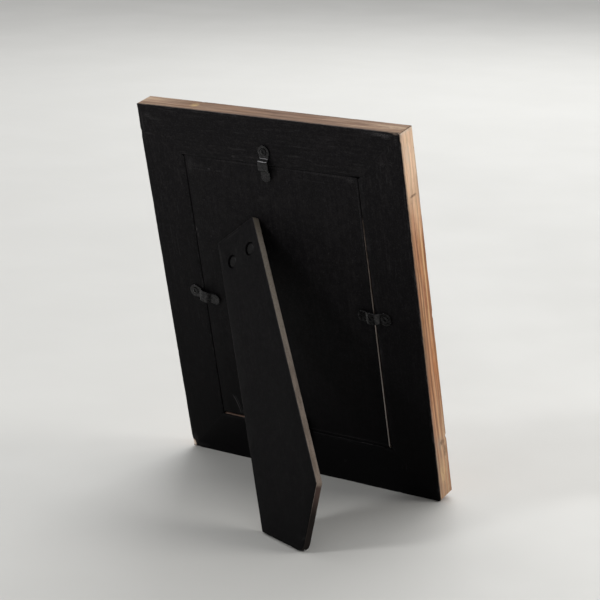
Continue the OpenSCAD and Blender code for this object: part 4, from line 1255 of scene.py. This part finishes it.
# V-nails stay as the CAD made them, in bare steel
nails = frame["nodes"]["corner_v_nails"]
nails.data.materials.clear()
nm = Mat("v_nail_steel")
tc = nm.t.nodes.new("ShaderNodeTexCoord").outputs["Object"]
nn_ = nm.noise(nm.scale(tc, (900, 900, 900)), 1, 4, 0.6)
nm.set(Metallic=1.0, Base_Color=nm.ramp(nn_, [(0.35, (0.30, 0.30, 0.30)), (0.65, (0.48, 0.47, 0.46))]), Roughness=nm.lin(nn_, 0.3, 0.7, 0.28, 0.45), Normal=nm.bump(nn_, 0.00003, 0.6))
nails.data.materials.append(nm.m)

# ---------------------------------------------------------------- stage, light, camera
sc_ = bpy.context.scene
sc_.view_settings.view_transform = "Standard"
sc_.view_settings.look = "None"
sc_.view_settings.exposure = 0.0

bm = bmesh.new()
bmesh.ops.create_grid(bm, x_segments=40, y_segments=40, size=6.0)
fm = bpy.data.meshes.new("floor")
bm.to_mesh(fm)
bm.free()
floor = bpy.data.objects.new("floor", fm)
bpy.context.scene.collection.objects.link(floor)
F = Mat("floor")
tc = F.t.nodes.new("ShaderNodeTexCoord").outputs["Object"]
fn = F.noise(tc, 7.0, 5, 0.6)
F.set(Base_Color=F.mix(F.step(fn, 0.35, 0.65, 0, 0.05), rgb(198, 198, 195), rgb(178, 178, 175)), Roughness=F.lin(fn, 0.3, 0.7, 0.6, 0.75))
F.b.inputs["Specular IOR Level"].default_value = 0.25
fm.materials.append(F.m)

w_ = bpy.data.worlds.new("studio")
sc_.world = w_
w_.use_nodes = True
bg = w_.node_tree.nodes.get("Background") or w_.node_tree.nodes.new("ShaderNodeBackground")
bg.inputs["Color"].default_value = (1.0, 0.985, 0.985, 1)
bg.inputs["Strength"].default_value = 0.30

CENTRE = Vector((0, 0, 0.11))


def softbox(name, direction, dist, size, power, colour=(1, 1, 1), aim=None):
    d = Vector(direction).normalized()
    la = bpy.data.lights.new(name, "AREA")
    la.shape = "RECTANGLE"
    la.size, la.size_y = size
    la.energy = power
    la.color = colour
    ob = bpy.data.objects.new(name, la)
    bpy.context.scene.collection.objects.link(ob)
    at = Vector(aim) if aim else CENTRE
    ob.location = at + d * dist
    ob.visible_camera = False
    ob.rotation_mode = "QUATERNION"
    ob.rotation_quaternion = d.to_track_quat("Z", "Y")
    return ob


softbox("key", (0.62, 0.70, 0.55), 1.5, (0.25, 0.25), 7.2)
softbox("side", (-0.9, -0.45, 0.35), 1.2, (0.6, 0.6), 6.3, (1.0, 0.98, 0.95))
softbox("back", (0.35, -1.0, 0.7), 2.2, (1.4, 1.4), 22.0)
la = bpy.data.lights.new("overhead", "SUN")
la.energy, la.angle = 1.5, 1.4
ob = bpy.data.objects.new("overhead", la)
bpy.context.scene.collection.objects.link(ob)
ob.rotation_mode = "QUATERNION"
ob.rotation_quaternion = Vector((0.3, -0.8, 1.0)).normalized().to_track_quat("Z", "Y")

cam = bpy.data.cameras.new("camera")
co = bpy.data.objects.new("camera", cam)
bpy.context.scene.collection.objects.link(co)
right, up, fwd = Vector((-0.8179, -0.5753, -0.0030)), Vector((0.1428, -0.2081, 0.9676)), Vector((0.5573, -0.7910, -0.2523))
fwd.normalize()
right = (right - fwd * right.dot(fwd)).normalized()
up = right.cross(fwd)
mat = Matrix((right, up, -fwd)).transposed().to_4x4()
mat.translation = Vector((-0.7194323, 0.9817995, 0.4429488))
co.matrix_world = mat
cam.sensor_width = 36.0
cam.lens = 124.3626
cam.clip_start, cam.clip_end = 0.02, 50
sc_.camera = co
